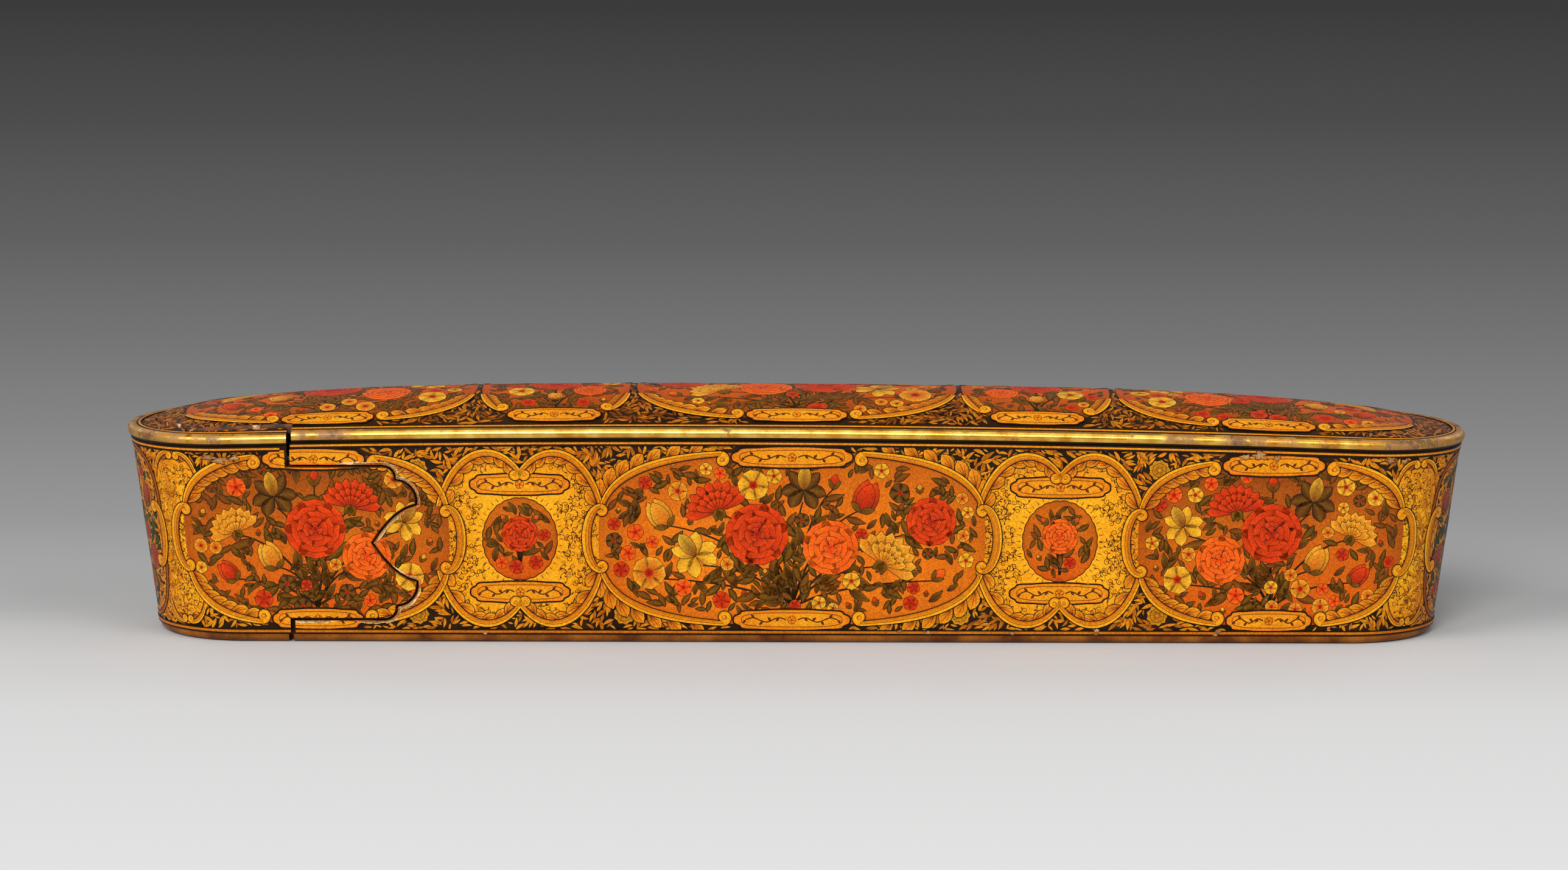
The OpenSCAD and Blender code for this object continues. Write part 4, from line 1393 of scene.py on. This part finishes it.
class Nodes:
    """Short ways to add the nodes that the finishes here share."""

    def __init__(self, tree):
        self.tree = tree
        self.place = self.add("TexCoord", "Object", {})

    def link(self, a, b):
        self.tree.links.new(a, b)

    def add(self, kind, output, inputs, **settings):
        """Adds a node and gives one of its outputs. An input is another output, a colour or a number."""
        node = self.tree.nodes.new("ShaderNode" + kind)
        for name, value in settings.items():
            setattr(node, name, value)
        for name, value in inputs.items():
            socket = node.inputs[name]
            if isinstance(value, bpy.types.NodeSocket):
                self.link(value, socket)
            elif isinstance(value, np.ndarray):
                socket.default_value = (*value[:3], 1)
            else:
                socket.default_value = value
        return node.outputs[output]

    def stretched(self, scale):
        return self.add("Mapping", "Vector", {"Vector": self.place, "Scale": scale})

    def noise(self, scale, detail=3.0, rough=0.55, place=None):
        inputs = {"Vector": place or self.place, "Scale": scale, "Detail": detail, "Roughness": rough}
        return self.add("TexNoise", "Fac", inputs)

    def cells(self, scale):
        inputs = {"Vector": self.place, "Scale": scale}
        return self.add("TexVoronoi", "Distance", inputs, feature="DISTANCE_TO_EDGE")

    def span(self, value, low, high, to_low=0.0, to_high=1.0):
        inputs = {"Value": value, "From Min": low, "From Max": high, "To Min": to_low, "To Max": to_high}
        return self.add("MapRange", "Result", inputs)

    def maths(self, how, a, b):
        return self.add("Math", "Value", {0: a, 1: b}, operation=how)

    def blend(self, share, a, b, how="MIX"):
        return self.add("Mix", 2, {0: share, 6: a, 7: b}, data_type="RGBA", blend_type=how)

    def part(self, axis):
        return self.add("SeparateXYZ", axis, {"Vector": self.place})

    def bump(self, height, strength, distance, shader):
        inputs = {"Height": height, "Strength": strength, "Distance": distance}
        self.link(self.add("Bump", "Normal", inputs), shader.inputs["Normal"])


VARNISH, VARNISH_DEEP = np.array([1.0, 0.97, 0.74]), np.array([0.88, 0.72, 0.38])
LACQUER = {"Roughness": 0.42, "Specular_IOR_Level": 0.1, "Coat_Weight": 0.06, "Coat_Roughness": 0.1}


def age(nodes, colour, stipple=0.68):
    """Old varnish over a colour: amber clouds, a fine stipple and hair cracks."""
    cloud = nodes.blend(nodes.span(nodes.noise(90, 4), 0.32, 0.7), VARNISH_DEEP, VARNISH)
    worn = nodes.blend(1.0, colour, cloud, "MULTIPLY")
    grain = nodes.span(nodes.noise(3000, 2), 0.34, 0.66, stipple, 1.12)
    worn = nodes.blend(1.0, worn, grain, "MULTIPLY")
    crack = nodes.span(nodes.cells(420), 0.0, 0.018, 0.35, 0.0)
    patch = nodes.span(nodes.noise(45, 2), 0.5, 0.62)
    return nodes.blend(nodes.maths("MULTIPLY", crack, patch), worn, SEPIA)


def paint_material():
    """The painting: colours from the strokes, under old varnish."""
    made, tree, shader = material("painting", **LACQUER)
    nodes = Nodes(tree)
    paint = tree.nodes.new("ShaderNodeAttribute")
    paint.attribute_name = "Paint"
    nodes.link(age(nodes, paint.outputs["Color"]), shader.inputs["Base Color"])
    nodes.link(paint.outputs["Alpha"], shader.inputs["Metallic"])
    nodes.link(nodes.span(nodes.noise(700, 3), 0.3, 0.7, 0.3, 0.48), shader.inputs["Roughness"])
    nodes.bump(nodes.noise(1600, 3), 0.12, 0.00005, shader)
    return made


def lacquer(name, dark, light, **changes):
    """Plain lacquer between two colours, in the varnish of the painting."""
    made, tree, shader = material(name, **{**LACQUER, **changes})
    nodes = Nodes(tree)
    base = nodes.blend(nodes.span(nodes.noise(160, 4), 0.35, 0.68), dark, light)
    nodes.link(age(nodes, base, 0.85), shader.inputs["Base Color"])
    nodes.link(nodes.span(nodes.noise(700, 3), 0.3, 0.7, 0.32, 0.5), shader.inputs["Roughness"])
    nodes.bump(nodes.noise(1600, 3), 0.12, 0.00005, shader)
    return made


def gilt_bead():
    """Gold leaf on the bead, rubbed to bole in places and to gesso towards the ends."""
    made, tree, shader = material("gilt_bead", Roughness=0.3, Coat_Weight=0.2, Coat_Roughness=0.2)
    nodes = Nodes(tree)
    leaf = nodes.blend(nodes.span(nodes.noise(260, 4), 0.35, 0.7), tone("C88420"), tone("FACF58"))
    rubbed = nodes.span(nodes.noise(190, 5, 0.65), 0.58, 0.68)
    leaf = nodes.blend(nodes.maths("MULTIPLY", rubbed, 0.85), leaf, tone("5E3208"))
    chipped = nodes.span(nodes.noise(260, 6, 0.75), 0.4, 0.54)
    where = 0.0
    for x, reach in ((-0.111, 0.017), (-0.083, 0.007), (0.068, 0.004), (0.082, 0.009), (0.110, 0.014)):
        away = nodes.maths("ABSOLUTE", nodes.maths("ADD", nodes.part("X"), -x), 0)
        where = nodes.maths("MAXIMUM", nodes.span(away, reach * 0.6, reach, 1, 0), where)
    chipped = nodes.maths("MULTIPLY", chipped, where)
    bare = nodes.blend(nodes.span(nodes.noise(520, 4, 0.6), 0.42, 0.6), tone("3C2008"), tone("946228"))
    nodes.link(nodes.blend(chipped, leaf, bare), shader.inputs["Base Color"])
    dull = nodes.maths("MAXIMUM", chipped, nodes.maths("MULTIPLY", rubbed, 0.7))
    nodes.link(nodes.span(dull, 0, 1, 0.9, 0.05), shader.inputs["Metallic"])
    nodes.link(nodes.span(dull, 0, 1, 0.25, 0.6), shader.inputs["Roughness"])
    nodes.bump(nodes.noise(420, 4), 0.35, 0.00012, shader)
    return made


def worn_edge_and_highlights():
    """The cut edge of the papier-mache: red bole and pale gesso where the paint has gone; the pale gesso also
    stands in for the highlight along the edge.
    """
    made, tree, shader = material("worn_edge_and_highlights", Roughness=0.5, Coat_Weight=0.3, Coat_Roughness=0.25)
    nodes = Nodes(tree)
    base = nodes.blend(nodes.span(nodes.noise(380, 4), 0.4, 0.62), tone("2A1406"), tone("7A3E14"))
    # Pale speckle: worn gesso, partly a painted highlight
    pale = nodes.span(nodes.noise(520, 4, 0.65), 0.6, 0.7)
    nodes.link(nodes.blend(pale, base, tone("D8B089")), shader.inputs["Base Color"])
    nodes.bump(nodes.noise(900, 3), 0.3, 0.0001, shader)
    return made


def brass(name, light, dark):
    """Old metal, dark where it is tarnished."""
    made, tree, shader = material(name, Metallic=1.0, Roughness=0.3)
    nodes = Nodes(tree)
    tarnish = nodes.span(nodes.noise(230, 5, 0.6), 0.4, 0.7)
    nodes.link(nodes.blend(tarnish, light, dark), shader.inputs["Base Color"])
    nodes.link(nodes.span(nodes.noise(480, 4), 0.3, 0.75, 0.18, 0.52), shader.inputs["Roughness"])
    nodes.bump(nodes.noise(1300, 3), 0.12, 0.00005, shader)
    return made


def grained(name, light, dark, stretch, rough, **sockets):
    """Reed, bone or silk: streaks along X with fine grain."""
    made, tree, shader = material(name, Roughness=rough, **sockets)
    nodes = Nodes(tree)
    streak = nodes.noise(1, 5, 0.6, nodes.stretched(stretch))
    cloud = nodes.noise(110, 3)
    share = nodes.maths("ADD", nodes.maths("MULTIPLY", streak, 0.7), nodes.maths("MULTIPLY", cloud, 0.3))
    nodes.link(nodes.blend(nodes.span(share, 0.36, 0.66), dark, light), shader.inputs["Base Color"])
    nodes.link(nodes.span(streak, 0.3, 0.7, rough - 0.1, rough + 0.12), shader.inputs["Roughness"])
    nodes.bump(streak, 0.25, 0.0001, shader)
    return made


# The case and its painting

case_materials = [
    lacquer("black_lacquer", tone("140B04"), tone("301C08")),
    gilt_bead(),
    lacquer("base_band", tone("61320F"), tone("A36320")),
    lacquer("base_lacquer", tone("2A160A"), tone("4A2810")),
    lacquer("inner_lacquer", tone("3A120A"), tone("5A2412"), Coat_Weight=0.2),
    worn_edge_and_highlights(),
]
make_shell(
    "sleeve_skin", "sleeve", "sleeve", 0, WALL, CUT_X + CUT_GAP, (SEAM_GAP, 0), "DIFFERENCE", case_materials
)
make_shell(
    "cap_skin", "drawer", "end_cap", CAP_DROP, TRAY_INSET, CUT_X, (0, SEAM_GAP), "INTERSECT", case_materials
)

painting = paint_material()
front = paint_side((SPRAY_A, SPRAY_B, flipped(SPRAY_A)), ("red", "coral"))
for hand in (1, -1):
    end_middle, end_half = wall_band(hand * 117)
    end_panel(front, complex(hand * RUN, end_middle.imag), 12.2, end_half - 0.5, 3)
wrap(front, "front_painting", lambda p, body: wall_place(p, -1), side_rules(), 1)
back = paint_side((flipped(SPRAY_A), flipped(SPRAY_B), SPRAY_A), ("coral", "red"))
wrap(back, "back_painting", lambda p, body: wall_place(p, 1), side_rules(), -1)
top = paint_top((SPRAY_A, flipped(SPRAY_B), flipped(SPRAY_A)))
wrap(top, "top_painting", lambda p, body: top_place(p, CAP_DROP if body == "drawer" else 0), top_rules(), 1)

# The drawer and its kit


def make_tray():
    """The tray, with a rounded lip and a rounded angle inside, in red lacquer."""
    inner = TRAY_INSET + TRAY_WALL
    floor = TRAY_INSET + TRAY_FLOOR
    lip = TRAY_WALL / 2
    rings = [ring(TRAY_INSET, TRAY_INSET + 0.3), ring(TRAY_INSET + 0.3, TRAY_INSET)]
    roles = [0, 0]
    for a in np.linspace(0, math.pi, 9):
        rings.append(ring(TRAY_TOP - lip + lip * math.sin(a), TRAY_INSET + lip - lip * math.cos(a)))
        roles.append(1)
    roles[-1] = 2
    for a in np.linspace(0, math.pi / 2, 6):
        rings.append(ring(floor + 1 - math.sin(a), inner + 1 - math.cos(a)))
        roles.append(2)
    tray = loft("tray_shell", rings, roles[:-1], [
        lacquer("tray_lacquer", tone("4A120A"), tone("6E2210")),
        worn_edge_and_highlights(),
        lacquer("tray_inside", tone("2E1408"), tone("552A10"), Coat_Weight=0.25),
    ], (0, 2))
    tray.data.set_sharp_from_angle(angle=math.radians(50))
    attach(tray, "drawer")
    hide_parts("tray")


def paint_tray(side):
    """Gilt vine along a side of the tray."""
    sheet = Sheet()
    run = np.linspace(-112, 112, 400)
    vine = run + 1j * (18 + 5.5 * np.sin(run / 6.0))
    ribbon(sheet, vine, 0.45, GOLD, 1)
    for k in range(6, 394, 7):
        way = unit(vine[k + 1] - vine[k])
        hand = 1 if (k // 7) % 2 else -1
        arm = way * heading(hand * 55) * 4.6
        blade(sheet, vine[k], arm, 1.7, (GOLD_DEEP, GOLD_LIGHT, BROWN), 2, -0.3 * hand, line=0)
        if k % 21 == 6:
            blossom(sheet, vine[k] + way * heading(hand * 90) * 7.5, 1.7 * way, 4, HUES["gold"])
    for z in (5.6, 31.0):
        ribbon(sheet, run + 1j * z, 0.5, GOLD, 1)
    name = "tray_vine_front" if side < 0 else "tray_vine_back"
    wrap(sheet, name, lambda p, body: wall_place(p, side, TRAY_INSET), None, -side)


make_tray()
paint_tray(-1)
paint_tray(1)


def make_wad():
    """The silk wad that holds the ink: a rumpled pad inside the inkwell."""
    low, high = (np.array(v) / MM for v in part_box("ink_wad"))
    middle, half = (low + high) / 2, (high - low) / 2
    rings, turns = 12, 48
    points = []
    for i in range(rings + 1):
        tilt = math.pi * i / rings
        for j in range(turns):
            turn = 2 * math.pi * j / turns
            folds = (1 + math.sin(5 * turn + 3 * tilt)) * math.sin(tilt)
            creases = 1 + math.sin(11 * turn - 4 * tilt)
            out = math.sin(tilt) ** 0.6 * (1 - 0.05 * folds - 0.03 * creases)
            dome = math.copysign(abs(math.cos(tilt)) ** 0.6, math.cos(tilt))
            up = dome * (0.92 + 0.08 * math.sin(3 * turn))
            points.append(middle + half * np.array([out * math.cos(turn), out * math.sin(turn), up]))
    faces = []
    for i in range(rings):
        for j in range(turns):
            k = (j + 1) % turns
            faces.append((i * turns + j, (i + 1) * turns + j, (i + 1) * turns + k, i * turns + k))
    wad = build_mesh("silk_wad", points, faces, [
        grained("inked_silk", tone("1E1A16"), tone("0A0908"), (900, 900, 200), 0.75, Sheen_Weight=0.5)
    ])
    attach(wad, "drawer")
    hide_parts("ink_wad")


make_wad()

kit_brass = brass("kit_brass", tone("D9AE56"), tone("7A5A26"))
bone = grained("bone", tone("F2DFB0"), tone("C49A5C"), (60, 700, 700), 0.4, Coat_Weight=0.2)
reed = grained("reed", tone("B9772E"), tone("5A2E10"), (40, 900, 900), 0.42, Coat_Weight=0.25)
FINISHES = {
    "inkwell_body": kit_brass, "inkwell_lid": kit_brass, "knife_ferrule": kit_brass, "ink_spoon": kit_brass,
    "knife_handle": bone, "nib_plate": bone,
    "knife_blade": brass("blade_steel", tone("B9BBBD"), tone("6A6660")),
    **{f"reed_pen_{n}": reed for n in range(1, 5)},
}
for node, finish in FINISHES.items():
    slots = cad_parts[node].data.materials
    slots.clear()
    slots.append(finish)

# Stage, light and camera

LOOK_DOWN, ROLL = math.radians(10.0), math.radians(-0.14)
DISTANCE, LENS, SENSOR = 1.2, 153.6, 36
TARGET = Vector((0, 0, 0.020))
IMAGE_W = 2576
# Where the target shows in the photograph, right of and below its middle
OFF_RIGHT, OFF_DOWN = 25.2, 134.0
# The floor lies just under the base
FLOOR_Z, FLOOR_REACH = -0.02, 3000
# Lamps: name, bearing, height, power and spread
LAMPS = (
    ("key", -12, 34, 2.35, 24),
    ("side", -55, 30, 1.6, 36),
    ("fill", 50, 32, 0.85, 36),
    ("overhead", 0, 76, 0.4, 36),
    ("back_left", -142, 30, 0.36, 40),
    ("back_right", 142, 30, 0.36, 40),
)
SKY = 0.19


def make_floor():
    """A broad pale sheet that darkens behind the box, as the photograph's does: the darkening is a painted
    falloff of light in its colour.
    """
    points = [(x, y, FLOOR_Z) for y in (-FLOOR_REACH, FLOOR_REACH) for x in (-FLOOR_REACH, FLOOR_REACH)]
    made, tree, shader = material("floor", Roughness=1.0, Specular_IOR_Level=0.0)
    nodes = Nodes(tree)
    ramp = tree.nodes.new("ShaderNodeValToRGB")
    # Painted falloff of light: the floor's colour from in front of the box to far behind it
    stops = (
        (0.0, "CECECE"), (0.09, "C6C6C6"), (0.121, "BDBDBD"), (0.154, "A4A4A4"), (0.223, "898989"),
        (0.304, "787878"), (0.392, "696969"), (0.514, "575757"), (0.71, "444444"), (0.95, "353535"),
    )
    while len(ramp.color_ramp.elements) < len(stops):
        ramp.color_ramp.elements.new(0.5)
    for element, (at, code) in zip(ramp.color_ramp.elements, stops):
        element.position = at
        element.color = (*tone(code)[:3], 1)
    nodes.link(nodes.span(nodes.part("Y"), -0.2, 1.2), ramp.inputs["Fac"])
    nodes.link(ramp.outputs["Color"], shader.inputs["Base Color"])
    floor = build_mesh("floor", points, [(0, 1, 3, 2)], [made])
    floor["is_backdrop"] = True


def lamp(name, around, up, power, spread):
    """A broad soft light from a bearing round from the front, to the right, and a height, in degrees."""
    light = bpy.data.lights.new(name, "SUN")
    light.energy, light.angle = power, math.radians(spread)
    item = bpy.data.objects.new(name, light)
    item.rotation_euler = (math.radians(90 - up), 0, math.radians(around))
    bpy.context.scene.collection.objects.link(item)


def make_camera():
    """The photograph's view."""
    data = bpy.data.cameras.new("camera")
    data.lens, data.sensor_width = LENS, SENSOR
    data.shift_x, data.shift_y = -OFF_RIGHT / IMAGE_W, OFF_DOWN / IMAGE_W
    item = bpy.data.objects.new("camera", data)
    way = Vector((0, math.cos(LOOK_DOWN), -math.sin(LOOK_DOWN)))
    item.location = TARGET - way * DISTANCE
    item.rotation_euler = (math.pi / 2 - LOOK_DOWN, ROLL, 0)
    bpy.context.scene.collection.objects.link(item)
    bpy.context.scene.camera = item


make_floor()
make_camera()
for row in LAMPS:
    lamp(*row)
world = bpy.data.worlds.new("studio")
bpy.context.scene.world = world
world.use_nodes = True
sky = world.node_tree.nodes["Background"]
sky.inputs["Color"].default_value = (1, 1, 1, 1)
sky.inputs["Strength"].default_value = SKY
bpy.context.scene.view_settings.view_transform = "Standard"

boxes = {"cad": cad_box, "visual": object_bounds()}
{name: [list(map(float, corner)) for corner in box] for name, box in boxes.items()}
